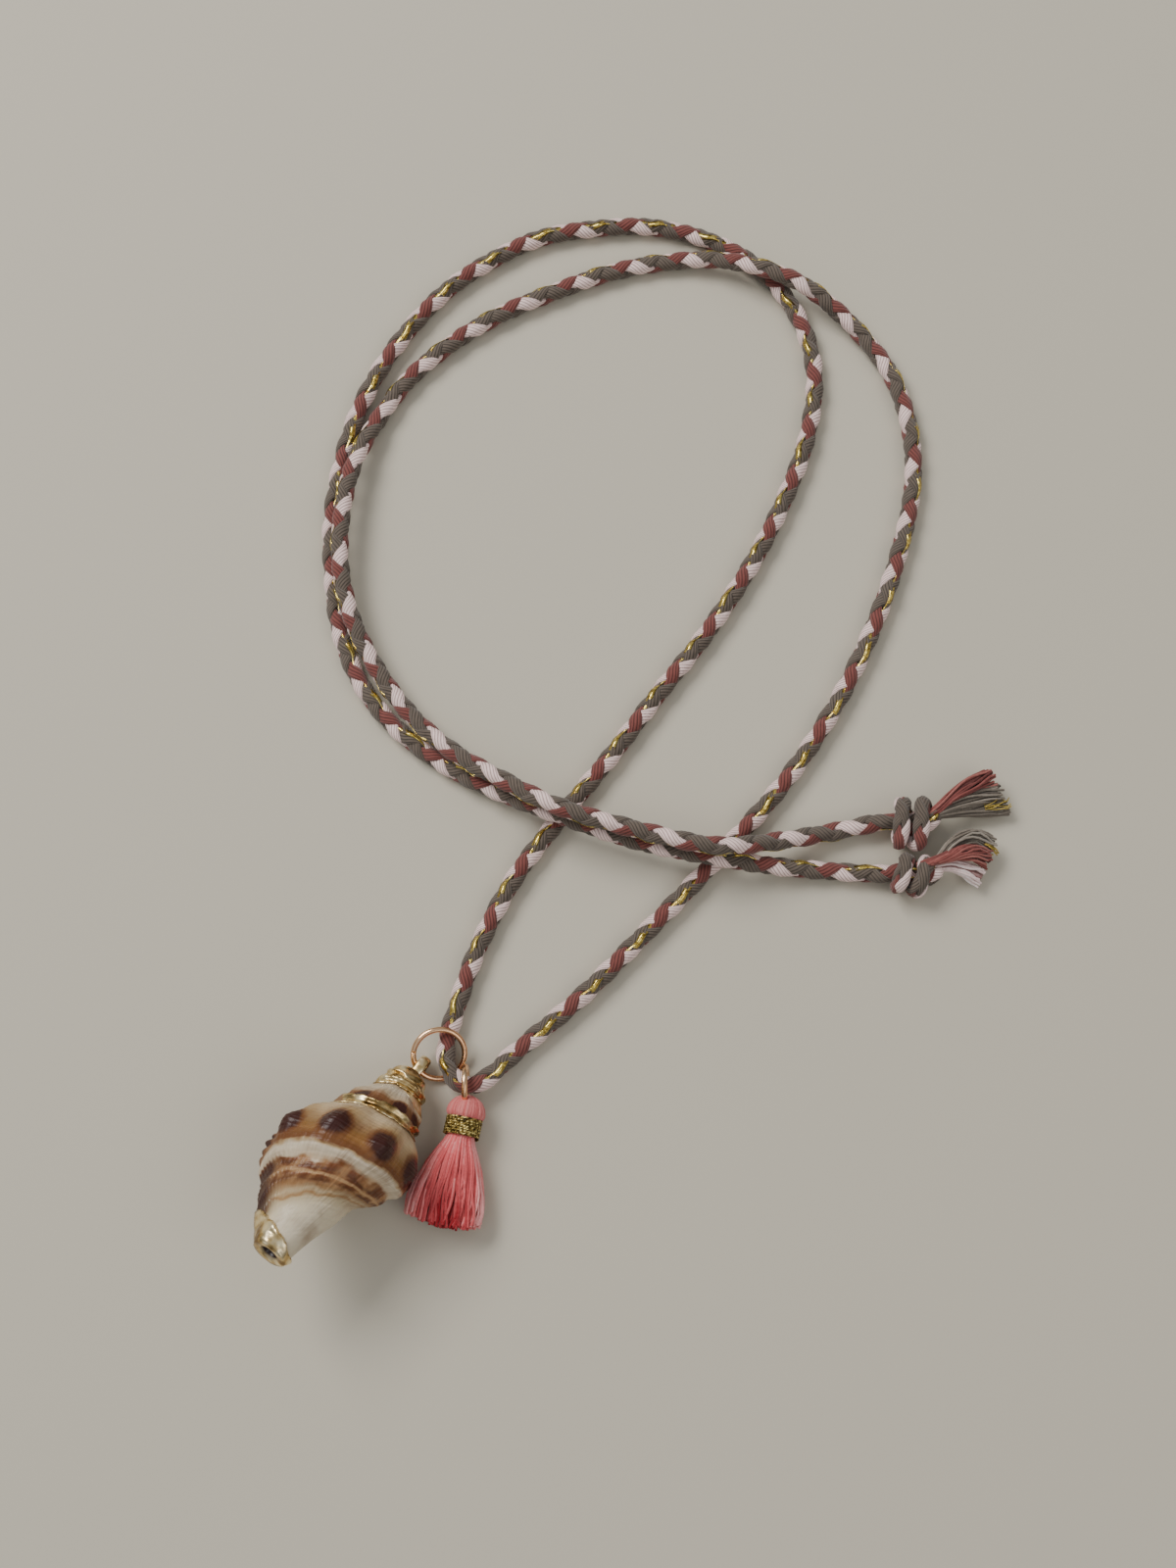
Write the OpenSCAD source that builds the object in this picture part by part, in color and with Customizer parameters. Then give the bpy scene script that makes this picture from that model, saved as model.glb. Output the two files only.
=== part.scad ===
// Shell necklace, laid down as a doubled coil.
// One braided cotton cord is folded at the pendant; its two halves end in overhand knots.
// X runs to the right, Y away from the viewer and Z up; the origin is on the surface
// under the middle of the whole necklace. All sizes are in millimetres.

/* [Cord] */
// Diameter of the braided cord
cord_d = 3; // [2.4:0.1:3]
// Sides of the plain tube that stands for the braid
cord_sides = 8; // [8:2:12]

/* [Knots and tufts] */
// Length of each end knot along the cord
knot_len = 6.4; // [6:0.1:6.6]
// Thickness of the cord where a knot squeezes it
knot_cord_d = 2.8; // [2.4:0.1:3]
// Width of the upper knot across the cord
upper_knot_w = 8.6; // [8:0.1:8.6]
// Width of the lower knot across the cord
lower_knot_w = 7; // [6.8:0.1:7]
// Height of both knots above the surface
knot_h = 5.8; // [5.4:0.1:6]
// Thickness of one lock of a frayed tuft
lock_d = 2; // [1.4:0.1:2.2]

/* [Shell] */
// Distance of the cut end of the canal from the middle of the bail
shell_len = 36.2; // [35:0.1:36.4]
// How much larger each turn is than the one before it
turn_growth = 2; // [1.95:0.01:2.05]
// Place of the last suture on the back of the shell
suture_at = 12.2; // [12:0.1:12.4]
// Height of the round knobs on the shoulder
knob_h = 1; // [0:0.1:1.1]
// Knobs on one turn
knobs = 8; // [6:1:10]
// Thickness of the shell's wall at the outer lip
shell_wall = 1.2; // [1:0.1:1.5]
// Slope of the shell's axis, apex down
shell_tilt = 23.5; // [23:0.5:24]

/* [Gilding] */
// Thickness of the gold on the shell
gilding_t = 0.35; // [0.25:0.05:0.5]
// Width of the gilded suture, as a share of its distance from the apex
gilding_w = 0.15; // [0.1:0.01:0.18]
// Thickness of the bail on the apex
bail_t = 0.6; // [0.5:0.05:0.65]
// Width of the bail's band
bail_w = 1.2; // [1:0.1:1.3]
// Clear height of the bail's hole
bail_hole_h = 1.6; // [1.5:0.05:1.7]
// Clear length of the bail's hole
bail_hole_len = 2.8; // [2.6:0.1:2.9]

/* [Rings] */
// Outside diameter of the ring that holds the shell
shell_ring_d = 8.4; // [8.2:0.1:8.4]
// Outside diameter of the ring that holds the tassel
tassel_ring_d = 6.2; // [6:0.1:6.3]
// Wire of both rings
ring_wire_d = 0.85; // [0.7:0.05:0.9]

/* [Tassel] */
// Diameter of the tassel's round head
head_d = 5.9; // [5.6:0.1:6]
// Diameter of the waist under the binding
waist_d = 4.2; // [4:0.1:4.4]
// Length of the whole tassel
tassel_len = 18.2; // [17.5:0.1:19.5]
// Locks of thread round the skirt
skirt_locks = 13; // [9:2:15]
// Turns of metallic thread in the binding
binding_turns = 7; // [5:1:7]

/* [Hidden] */
$fn = 48;

// Air left between pieces that touch on the real necklace.
gap = 0.12;
// Columns of a route's or a place's point.
X = 0;
Y = 1;
Z = 2;

// Middle of the cord, from the lower knot round to the fold: this half lies underneath.
under_route = [
    [36, -26.5, 2.2], [27.5, -26, 1.6], [19, -25.5, 2.8], [10, -24.5, 4.7],
    [-1.5, -22, 4.2], [-13.5, -18, 4.7], [-23.5, -13.5, 2.5], [-31.5, -9, 1.5],
    [-38.5, -3.5, 1.5], [-44, 3.5, 1.5], [-47.5, 12, 1.5], [-49, 21, 1.5],
    [-49.5, 30, 1.5], [-48.5, 39, 1.5], [-46.5, 47.5, 1.5], [-43, 56, 1.5],
    [-38, 64, 1.5], [-32, 71, 1.5], [-25.5, 76, 1.5], [-17, 80.5, 1.5],
    [-8.5, 82.2, 1.5], [0.5, 82.65, 1.5], [9, 80.8, 1.5], [16.5, 77, 1.5],
    [22, 71.5, 1.5], [26, 64, 1.5], [27.5, 55.5, 1.5], [26, 45, 1.5],
    [22, 34, 1.5], [16.5, 23, 1.5], [9.5, 12, 1.5], [1.5, 1.5, 1.5],
    [-5.5, -8, 1.5], [-13, -17.5, 1.5], [-20, -27, 1.5], [-25.5, -38, 1.5],
    [-28.5, -47, 1.5], [-29.8, -52, 1.7], [-29.6, -55, 2.35], [-28.2, -57.4, 2.95],
    [-25.8, -58.2, 3.05]
];
// Middle of the cord, from the upper knot round to the fold: this half lies on top.
over_route = [
    [36, -18.5, 2.4], [28, -20, 1.9], [19.5, -22, 4.4], [10, -23.5, 7.8],
    [-1.5, -21, 7.3], [-13.5, -17.5, 7.8], [-22.5, -12.5, 5.7], [-29.5, -8, 4.2],
    [-36, -2, 3.2], [-41.5, 5.5, 3], [-45.5, 13.5, 3.8], [-47.5, 22, 4.3],
    [-47.5, 31, 4.3], [-46, 39.5, 3.6], [-42.5, 48, 1.9], [-37.5, 55.5, 1.5],
    [-31, 61.5, 1.5], [-23.5, 66.5, 1.5], [-15, 70.5, 1.5], [-6, 74, 1.5],
    [3, 76, 1.5], [11, 76, 2.6], [18.5, 73.5, 4.7], [25.5, 70.5, 4.6],
    [31.5, 66.5, 2.8], [36, 62, 1.5], [40, 55.5, 1.5], [42.5, 46, 1.5],
    [42.5, 36.5, 1.5], [39.5, 24, 1.5], [35, 12, 1.5], [29, 0, 1.5],
    [21, -12, 1.5], [10.5, -24, 1.5], [-1, -36, 1.5], [-10, -45, 1.5],
    [-17, -51, 1.5], [-20.5, -54, 1.8], [-23, -56.5, 2.5], [-25.8, -58.2, 3.05]
];
// Direction of the cord across its fold, where the two halves meet.
fold_way = [1, 0.1, 0];

// Diameter of the two cords that run through a knot, taken together.
knot_core_d = 4;
// The second turn of a knot is narrower by this much, and both lean by this angle.
wrap_step = 0.8;
wrap_lean = 3;
// The knot's solid middle reaches this far past the straight stretches of its turns,
// and stops this far below the middle of the cord above it.
knot_fill = 1.2;
knot_sink = 0.25;
// Middle of each knot on the surface, and its turn about the vertical.
upper_knot_at = [39.55, -18.85, 0];
upper_knot_turn = 4;
lower_knot_at = [39.45, -26.95, 0];
lower_knot_turn = -6;
// Locks of each tuft: middle line from the knot to the tip.
upper_locks = [
    [[43.5, -17.1, 3.6], [46, -15, 4], [49.2, -13, 3.6], [52.5, -11.4, 2.8]],
    [[43.5, -17.4, 3.4], [46.5, -16, 3.3], [50, -14.8, 2.8], [53.9, -13.8, 2]],
    [[43.5, -17.7, 3.2], [46.5, -17.1, 2.6], [50.5, -16.5, 2], [54.86, -15.9, 1.4]]
];
lower_locks = [
    [[43.5, -25.2, 3.8], [45.5, -22.7, 4.6], [48.6, -21.4, 4.1], [52.1, -22.5, 2.3]],
    [[43.5, -25.5, 3.6], [45.8, -23.9, 4.5], [48.7, -23.6, 3.6], [51.8, -24.5, 1.8]],
    [[43.5, -25.9, 3.2], [45.5, -25.8, 2.9], [47.9, -26.4, 2.2], [50.4, -27.3, 1.3]]
];
// Middle of each tuft's root, where its locks leave the knot.
upper_tuft_root = [43.9, -17.4, 3.4];
lower_tuft_root = [44.05, -25.6, 3.5];
root_share = 1.15;
// Thickness of a lock where it leaves the root and at its cut tip, as shares of its size.
lock_spread = [0.62, 1.15];
lock_sides = 7;
root_sides = 12;

// Rings: the first lies tilted over the cord, the second stands round it.
shell_ring_at = [-30.8, -53.6, 2.4];
shell_ring_tilt = [27, 12, 0];
tassel_ring_at = [-26.8, -58.2, 3.15];

// Bail on the apex: the middle of its hole, and the turn and rise of its length.
bail_at = [-33.65, -55.6, 1.88];
bail_turn = 234.2;
bail_rise = 12;
bail_steps = 24;
bail_sides = 10;

// Shell: the axis leaves this point by the bail and rises towards the canal.
shell_at = [-33.3, -55, 1.64];
shell_heading = 234.2;
shell_roll = 9;
// Turn from the middle of the back to the outer lip, and the width of the closed seam.
lip_turn = -96;
seam = 8;

// Envelope of the spire and the whorl. Columns: distance along the axis, radius.
envelope = [
    [2.7, 1.3], [3, 1.9], [3.5, 2.4], [4.4, 2.9], [5.2, 3.3], [7, 3.9], [9, 4.75],
    [11, 5.8], [13, 7.1], [15, 8.1], [17, 8.9], [19, 9.2], [21, 9.4], [40, 9.4]
];
// Growth per turn of the last whorl's lower side.
base_growth = 1.75;
// Lower side of the last whorl. Columns: distance carried back along the spiral, radius.
whorl_base = [
    [0, 11.5], [18, 10.8], [20, 10.1], [21.8, 9.4], [23.5, 8.6], [25.2, 7.4], [26.9, 6],
    [28.7, 4.3], [30.4, 2.6], [32, 1], [80, 0.5]
];
// Neck and canal under the whorl. Columns: distance along the axis, radius.
neck = [
    [0, -4], [10, 0], [14, 3.4], [22, 4.8], [25, 4.8], [27, 4.6], [29, 4], [31, 3.4],
    [33, 3], [35, 2.7], [37, 1.7]
];
// Sideways bend of the spire. Columns: distance along the axis, offset.
bend = [
    [0, 0], [3, 0], [5, 0.35], [9, 0.85], [13, 1.2], [17, 0.7], [21, 0.5], [25, 0.4],
    [32, 0.5], [37, 0.5]
];
// Radius of the softened corner where two of these surfaces meet.
corner = 0.7;
// Knobs: turn of the first, distance where they reach full height, place between two
// sutures (0 to 1), half width in degrees and half length as a share of that space.
knob_turn = 33;
whorl_s = 18;
knob_phase = 0.62;
knob_width = 11;
knob_reach = 0.14;
// Suture: depth as a share of the radius, and how far the hollow runs to either side.
notch_depth = 0.17;
notch_below = 0.17;
notch_above = 0.08;
// Relief fades in between these distances at the tip of the spire.
relief_start = [3, 6];
// Relief ends on the last whorl between these carried distances, below these distances.
relief_end = [22, 27];
relief_floor = [13, 16];
// Outer lip: its height above the whorl, half width in degrees, and where it starts and ends.
lip_h = 0.5;
lip_width = 14;
lip_start = [15, 19];
lip_end = [27, 32];

// Rings of points from the apex to the canal, and points of one ring.
shell_rows = 52;
shell_first = 2.8;
shell_cols = 36;
mouth_cols = 12;
// The mouth opens between these distances and narrows to the canal's groove between those.
mouth_from = 13.5;
mouth_open = 18;
mouth_narrow = 26;
mouth_groove = 33;
groove_share = 0.22;
mouth_depth = 110;
// The groove closes between these distances from the canal's cut end.
groove_stop = [2, 0.5];
// Air and wall on the inner side of the mouth, as a share of the radius there.
columella_share = 0.93;
// Rows stand closer together at the spire.
row_crowding = 1.2;

// Gold over the canal, as a sleeve. Columns: turn from the back, where the gold begins.
canal_edge = [[-100, 31.6], [-60, 32.8], [0, 34], [60, 35.2], [130, 35.4], [265, 32.6]];
canal_end = 36.5;
sleeve_steps = 4;
sleeve_cols = 30;
// Gold along the suture: turns where it starts and stops, and its low section.
// Columns of the section: share of the half width, share of the thickness.
ribbon_from = lip_turn + 8;
ribbon_to = 440;
ribbon_rows = 54;
ribbon_shape = [[1, 0], [0.8, 0.7], [0, 1], [-0.8, 0.7], [-1, 0], [-0.3, 0], [0.3, 0]];
// Gold cap on the tip. Columns: distance along the axis, radius. Then the distances inside.
cap_cols = 20;
cap_outside = [
    [1.9, 0.7], [2.1, 1.5], [2.5, 2.15], [3, 2.6], [3.5, 2.9], [4, 3.15], [4.6, 3.45]
];
cap_inside = [4.6, 3.8, 3.1, 2.75];
cap_tip = [1.85, 2.6];
cap_lump = 0.03;

// Tassel: the tip of its head, and its turn about the vertical. It lies on the surface.
tassel_at = [-26.15, -59.68, 3.05];
tassel_turn = -12;
head_len = 3;
binding_len = 3.3;
// The waist runs on into the skirt by this length.
waist_run = 0.6;
// Skirt. Columns: distance from the tip of the head, half width, half height.
skirt = [
    [5.6, 1.7, 1.7], [6.6, 2.3, 2.2], [8, 3.1, 2.5], [10.4, 4.3, 2.75], [13.4, 5.3, 2.8],
    [16, 5.8, 2.75], [18.2, 5.6, 2.6]
];
skirt_cols = skirt_locks * 4;
// Depth of the furrows between locks, and where they deepen and fray.
furrow = 0.07;
furrow_start = [6, 12];
fray_start = [15, 18];

function length3(v) = sqrt(v * v);
function unit3(v) = v / length3(v);
function smooth(a, b, x) = let (t = min(1, max(0, (x - a) / (b - a)))) t * t * (3 - 2 * t);
function rise(span, x) = smooth(span[0], span[1], x);
function soft_min(a, b) = (a + b - sqrt((a - b) * (a - b) + corner * corner)) / 2;
function soft_max(a, b) = (a + b + sqrt((a - b) * (a - b) + corner * corner)) / 2;

// Tubes: rings of points across a route, and the triangles between them.
function way(route, i, last_way) =
    i == len(route) - 1 && last_way != undef ? unit3(last_way)
    : unit3(unit3(route[min(i + 1, len(route) - 1)] - route[max(i - 1, 0)]));
function tube_ring(p, along, r, sides) =
    let (side = unit3(cross(along, [0, 0, 1])), up = cross(side, along))
    [for (k = [0 : sides - 1]) p + r * (sin(360 * k / sides) * side - cos(360 * k / sides) * up)];
function strip(i, cols) = [
    for (k = [0 : cols - 1])
        let (a = i * cols + k, b = i * cols + (k + 1) % cols)
            each [[a, b, b + cols], [a, b + cols, a + cols]]
];
function lids(rows, cols) = concat(
    [for (k = [0 : cols - 1]) [rows * cols, (k + 1) % cols, k]],
    [for (k = [0 : cols - 1])
        [rows * cols + 1, (rows - 1) * cols + k, (rows - 1) * cols + (k + 1) % cols]]
);

// A closed solid through rings of points, with a middle point in each end.
module through_rings(rings, first_middle, last_middle) {
    rows = len(rings);
    cols = len(rings[0]);
    polyhedron(
        points = concat([for (r = rings) each r], [first_middle, last_middle]),
        faces = concat([for (i = [0 : rows - 2]) each strip(i, cols)], lids(rows, cols)),
        convexity = 10
    );
}

// The same, closed on itself like a bangle, without ends.
module round_rings(rings) {
    rows = len(rings);
    cols = len(rings[0]);
    total = rows * cols;
    polyhedron(
        points = [for (r = rings) each r],
        faces = [
            for (i = [0 : rows - 1]) for (f = strip(i, cols)) [for (v = f) v % total]
        ],
        convexity = 10
    );
}

module tube(route, r, sides, last_way) {
    last = len(route) - 1;
    through_rings(
        [for (i = [0 : last]) tube_ring(route[i], way(route, i, last_way), r, sides)],
        route[0],
        route[last]
    );
}

// A lock of thread is thin where it leaves the root and spreads towards its cut tip.
module lock(route, r) {
    last = len(route) - 1;
    spread = lock_spread[1] - lock_spread[0];
    through_rings(
        [
            for (i = [0 : last])
                let (share = lock_spread[0] + spread * smooth(0, last, i))
                    tube_ring(route[i], way(route, i), r * share, lock_sides)
        ],
        route[0],
        route[last]
    );
}

module cord_under() {
    color("rosybrown")
        tube(under_route, cord_d / 2, cord_sides, fold_way);
}

module cord_over() {
    color("tan")
        tube(over_route, cord_d / 2, cord_sides, -fold_way);
}

// One turn of cord in a knot: two half rings joined by two straight stretches.
module wrap(w) {
    r = knot_cord_d / 2;
    bow = knot_h / 2 - r;
    reach = w / 2 - knot_h / 2;
    for (side = [-1, 1])
        translate([0, side * reach, 0])
            rotate([0, 90, 0])
                rotate([0, 0, side * 90])
                    rotate_extrude(angle = 180, start = -90)
                        translate([bow, 0])
                            circle(r);
    for (side = [-1, 1])
        translate([0, 0, side * bow])
            rotate([90, 0, 0])
                cylinder(r = r, h = 2 * reach, center = true);
}

// Two turns side by side over the two cords that run through them.
module knot(w) {
    translate([0, 0, knot_h / 2]) {
        for (side = [-1, 1])
            translate([side * knot_len / 4, 0, 0])
                rotate([0, 0, side * wrap_lean])
                    wrap(w - (1 + side) * wrap_step / 2);
        rotate([0, 90, 0])
            cylinder(r = knot_core_d / 2, h = knot_len - 0.1, center = true);
        cube(
            [knot_len - knot_cord_d, w - knot_h + knot_fill, knot_h - knot_cord_d - 2 * knot_sink],
            center = true
        );
    }
}

module knot_lower() {
    color("dimgray")
        translate(lower_knot_at)
            rotate([0, 0, lower_knot_turn])
                knot(lower_knot_w);
}

module knot_upper() {
    color("dimgray")
        translate(upper_knot_at)
            rotate([0, 0, upper_knot_turn])
                knot(upper_knot_w);
}

// Frayed end of the cord: locks of thread fused to a short round root.
module tuft_root(at, r) {
    through_rings(
        [
            for (a = [-60 : 30 : 60])
                tube_ring(at + [r * sin(a), 0, 0], [1, 0, 0], r * cos(a), root_sides)
        ],
        at - [r, 0, 0],
        at + [r, 0, 0]
    );
}

module tuft(locks, root) {
    tuft_root(root, lock_d / 2 * root_share);
    for (route = locks)
        lock(route, lock_d / 2);
}

module tuft_lower() {
    color("indianred")
        tuft(lower_locks, lower_tuft_root);
}

module tuft_upper() {
    color("indianred")
        tuft(upper_locks, upper_tuft_root);
}

// Shell: every place on it is a distance along the axis and a turn from its back.
function carried(s, turn) = s * pow(turn_growth, turn / 360);
function phase(s, turn) =
    let (p = ln(carried(s, turn) / suture_at) / ln(turn_growth)) p - floor(p);
function notch(s, turn) =
    let (p = phase(s, turn), d = min(p / notch_below, (1 - p) / notch_above))
    notch_depth * exp(-d * d);
function knob(s, turn) =
    let (
        step = 360 / knobs,
        t = (turn - knob_turn) / step,
        across = (t - round(t)) * step / knob_width,
        along = (phase(s, turn) - knob_phase) / knob_reach
    )
    knob_h * s / whorl_s * exp(-across * across - along * along);
function lip_flare(s, turn) =
    let (d = (turn - lip_turn) / lip_width)
    lip_h * exp(-d * d) * rise(lip_start, s) * (1 - rise(lip_end, s));
function plain_r(s, turn) =
    soft_max(
        soft_min(
            lookup(s, envelope),
            lookup(s * pow(base_growth, turn / 360), whorl_base)
        ),
        lookup(s, neck)
    );
function shell_r(s, turn) =
    let (
        fade = rise(relief_start, s),
        whorl = 1 - rise(relief_end, carried(s, turn)) * rise(relief_floor, s),
        r = plain_r(s, turn)
    )
    r * (1 - fade * whorl * (notch(s, turn) - 0.02)) + fade * whorl * knob(s, turn)
        + lip_flare(s, turn);
function shell_point(s, turn, r) = [r * cos(turn), -r * sin(turn) - lookup(s, bend), s];

// The mouth: a chamber under the last half turn, open beside the outer lip.
function mouth_share(s) =
    smooth(mouth_from, mouth_open, s)
        * (1 - (1 - groove_share) * smooth(mouth_narrow, mouth_groove, s))
        * (1 - smooth(shell_len - groove_stop[0], shell_len - groove_stop[1], s));
function chamber_point(s, k) =
    let (
        u = k / (mouth_cols - 1),
        depth = sin(180 * min(1, max(0, u))),
        turn = lip_turn - seam / 2 + mouth_depth * depth,
        low = shell_r(s, 360 + lip_turn - seam) * columella_share,
        high = shell_r(s, turn + seam / 2) - shell_wall,
        share = smooth(0.08, 0.92, u)
    )
    shell_point(s, turn, low + (max(high, low + 0.3) - low) * share);
function seam_point(s, k) =
    let (
        u = (k + 1) / (mouth_cols + 1),
        r0 = shell_r(s, 360 + lip_turn - seam),
        r1 = shell_r(s, lip_turn)
    )
    shell_point(s, lip_turn - seam + seam * u, r0 + (r1 - r0) * u);
function shell_row(s) = concat(
    [
        for (k = [0 : shell_cols - 1])
            let (turn = lip_turn + (360 - seam) * k / (shell_cols - 1))
                shell_point(s, turn, shell_r(s, turn))
    ],
    [
        for (k = [0 : mouth_cols - 1])
            let (w = mouth_share(s)) (1 - w) * seam_point(s, k) + w * chamber_point(s, k)
    ]
);
function row_at(i) =
    shell_first + (shell_len - shell_first) * pow(i / (shell_rows - 1), row_crowding);

module on_shell_axis() {
    translate(shell_at)
        rotate([0, 90 - shell_tilt, shell_heading])
            rotate([0, 0, 180 + shell_roll])
                children();
}

module shell() {
    color("wheat")
        on_shell_axis()
            through_rings(
                [for (i = [0 : shell_rows - 1]) shell_row(row_at(i))],
                shell_point(shell_first, 0, 0),
                shell_point(shell_len, 0, 0)
            );
}

// Gold over the canal.
function sleeve_row(u, lift) = [
    for (k = [0 : sleeve_cols - 1])
        let (
            turn = lip_turn + (360 - seam) * k / (sleeve_cols - 1),
            from = lookup(turn, canal_edge),
            s = from + (canal_end - from) * u
        )
            shell_point(s, turn, shell_r(s, turn) + lift)
];
module canal_gilding() {
    color("gold")
        on_shell_axis()
            round_rings(concat(
                [for (i = [0 : sleeve_steps]) sleeve_row(i / sleeve_steps, 1.5 * gap + gilding_t)],
                [for (i = [sleeve_steps : -1 : 0]) sleeve_row(i / sleeve_steps, 1.5 * gap)]
            ));
}

// Gold along the suture, from the lip up the spire. Its width wavers.
function suture_s(turn) = suture_at / pow(turn_growth, turn / 360);
function ribbon_ring(i) =
    let (
        turn = ribbon_from + (ribbon_to - ribbon_from) * i / (ribbon_rows - 1),
        s0 = suture_s(turn),
        w = gilding_w * s0 / 2 * (1 + 0.15 * sin(turn * 5) + 0.1 * sin(turn * 11))
    )
    [
        for (c = ribbon_shape)
            let (s = s0 + c[0] * w)
                shell_point(s, turn, shell_r(s, turn) + 2.5 * gap + c[1] * gilding_t)
    ];
module suture_gilding() {
    color("gold")
        on_shell_axis()
            through_rings(
                [for (i = [0 : ribbon_rows - 1]) ribbon_ring(i)],
                (ribbon_ring(0)[2] + ribbon_ring(0)[5]) / 2,
                (ribbon_ring(ribbon_rows - 1)[2] + ribbon_ring(ribbon_rows - 1)[5]) / 2
            );
}

// Gold cap over the tip of the spire, in one piece with the bail.
function cap_row(row, lump) = [
    for (k = [0 : cap_cols - 1])
        let (turn = 360 * k / cap_cols, r = row[1] * (1 + lump * sin(3 * turn + 200 * row[0])))
            shell_point(row[0], turn, r)
];
// The bail is a flat band bent round an oblong hole.
function bail_ring(a) =
    let (
        h = bail_hole_h / 2 + bail_t / 2,
        middle = [
            h * cos(a) + (bail_hole_len - bail_hole_h) / 2 * min(1, max(-1, 2 * cos(a))),
            0,
            h * sin(a)
        ],
        out = [cos(a), 0, sin(a)]
    )
    [
        for (k = [0 : bail_sides - 1])
            let (b = 360 * k / bail_sides)
                middle + bail_t / 2 * cos(b) * out - [0, bail_w / 2 * sin(b), 0]
    ];
module apex_cap() {
    color("gold") {
        on_shell_axis()
            through_rings(
                concat(
                    [for (row = cap_outside) cap_row(row, cap_lump)],
                    [for (s = cap_inside) cap_row([s, lookup(s, envelope) + 2 * gap], 0)]
                ),
                shell_point(cap_tip[0], 0, 0),
                shell_point(cap_tip[1], 0, 0)
            );
        translate(bail_at)
            rotate([0, -bail_rise, bail_turn])
                round_rings([for (i = [0 : bail_steps - 1]) bail_ring(360 * i / bail_steps)]);
    }
}

module ring(d) {
    rotate_extrude()
        translate([(d - ring_wire_d) / 2, 0])
            circle(d = ring_wire_d);
}

module shell_ring() {
    color("peru")
        translate(shell_ring_at)
            rotate(shell_ring_tilt)
                ring(shell_ring_d);
}

module tassel_ring() {
    color("peru")
        translate(tassel_ring_at)
            rotate([0, 90, 0])
                ring(tassel_ring_d);
}

// Tassel: a round head on a bound waist, and a skirt of locks below it.
function skirt_point(row, k) =
    let (
        a = -360 * k / skirt_cols,
        lock_wave = 1 + furrow * rise(furrow_start, row[0]) * cos(a * skirt_locks),
        last_s = skirt[len(skirt) - 1][0],
        frayed = tassel_len - last_s - 0.3 * sin(a * 3 + 40) - cos(2 * a),
        fray = rise(fray_start, row[0]) * frayed
    )
    [row[1] * lock_wave * cos(a), -fray - row[0], row[2] * lock_wave * sin(a)];

module tassel() {
    waist_end = head_len + binding_len + waist_run;
    color("lightcoral")
        difference() {
            translate(tassel_at)
                rotate([0, 0, tassel_turn]) {
                    rotate([90, 0, 0])
                        rotate_extrude()
                            difference() {
                                union() {
                                    translate([0, head_d / 2])
                                        circle(d = head_d);
                                    translate([0, head_d / 2])
                                        square([waist_d / 2, waist_end - head_d / 2]);
                                }
                                translate([-head_d, -1])
                                    square([head_d, tassel_len]);
                                translate([0, -1])
                                    square([head_d, 1]);
                                translate([waist_d / 2, head_len])
                                    square([head_d, tassel_len]);
                            }
                    through_rings(
                        [
                            for (row = skirt)
                                [for (k = [0 : skirt_cols - 1]) skirt_point(row, k)]
                        ],
                        [0, -skirt[0][0], 0],
                        [0, -skirt[len(skirt) - 1][0], 0]
                    );
                }
            translate(tassel_ring_at)
                rotate([0, 90, 0])
                    rotate_extrude()
                        translate([(tassel_ring_d - ring_wire_d) / 2, 0])
                            circle(r = ring_wire_d / 2 + gap);
        }
}

// Turns of metallic thread round the waist.
module tassel_binding() {
    thread = (binding_len - 2 * gap) / binding_turns;
    inside = waist_d / 2 + gap;
    color("darkgoldenrod")
        translate(tassel_at)
            rotate([0, 0, tassel_turn])
                rotate([90, 0, 0])
                    translate([0, 0, head_len + gap])
                        rotate_extrude()
                            union() {
                                translate([inside, 0])
                                    square([thread / 2, thread * binding_turns]);
                                for (i = [0 : binding_turns - 1])
                                    translate([inside + thread / 2, (i + 0.5) * thread])
                                        circle(d = thread * 0.98);
                            }
}

cord_under();
cord_over();
knot_lower();
knot_upper();
tuft_lower();
tuft_upper();
shell();
suture_gilding();
apex_cap();
canal_gilding();
shell_ring();
tassel_ring();
tassel();
tassel_binding();
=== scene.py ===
# %% [markdown]
# # A shell necklace, piece by piece
# This lesson dresses a necklace whose hard and soft parts already exist as plain CAD solids.
# The necklace is one long braided cotton cord. It is folded in half at a small sea shell that
# was brushed with gold, and its two ends are tied in overhand knots with frayed tufts.
# The CAD model is loaded first and never moved. Every piece made here stands on the same spot
# as the solid that it takes the place of.

import math
from functools import reduce

import bpy
import numpy as np
from mathutils import Matrix, Vector


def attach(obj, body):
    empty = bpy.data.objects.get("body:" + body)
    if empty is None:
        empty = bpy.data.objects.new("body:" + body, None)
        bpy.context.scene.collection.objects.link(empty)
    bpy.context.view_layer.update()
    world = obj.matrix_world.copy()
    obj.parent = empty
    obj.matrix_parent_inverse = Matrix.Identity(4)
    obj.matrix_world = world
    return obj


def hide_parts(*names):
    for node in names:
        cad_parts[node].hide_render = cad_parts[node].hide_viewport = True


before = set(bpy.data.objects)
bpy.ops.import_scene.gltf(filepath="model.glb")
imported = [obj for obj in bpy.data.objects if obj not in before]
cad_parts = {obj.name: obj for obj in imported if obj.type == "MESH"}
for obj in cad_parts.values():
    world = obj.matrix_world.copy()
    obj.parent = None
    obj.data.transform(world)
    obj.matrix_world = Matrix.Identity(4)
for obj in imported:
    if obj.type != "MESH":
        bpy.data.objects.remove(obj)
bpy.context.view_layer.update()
MM = 0.001
print("CAD nodes:", ", ".join(sorted(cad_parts)))

# %% [markdown]
# ## Where the viewer stands
# The necklace lies on a surface and is seen from above, a little from the side of the shell.
# A camera could be placed by hand, but its distance and lens were worked out from the picture,
# so the numbers are simply written down: 45 mm lens, about 75 degrees above the surface.

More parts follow.
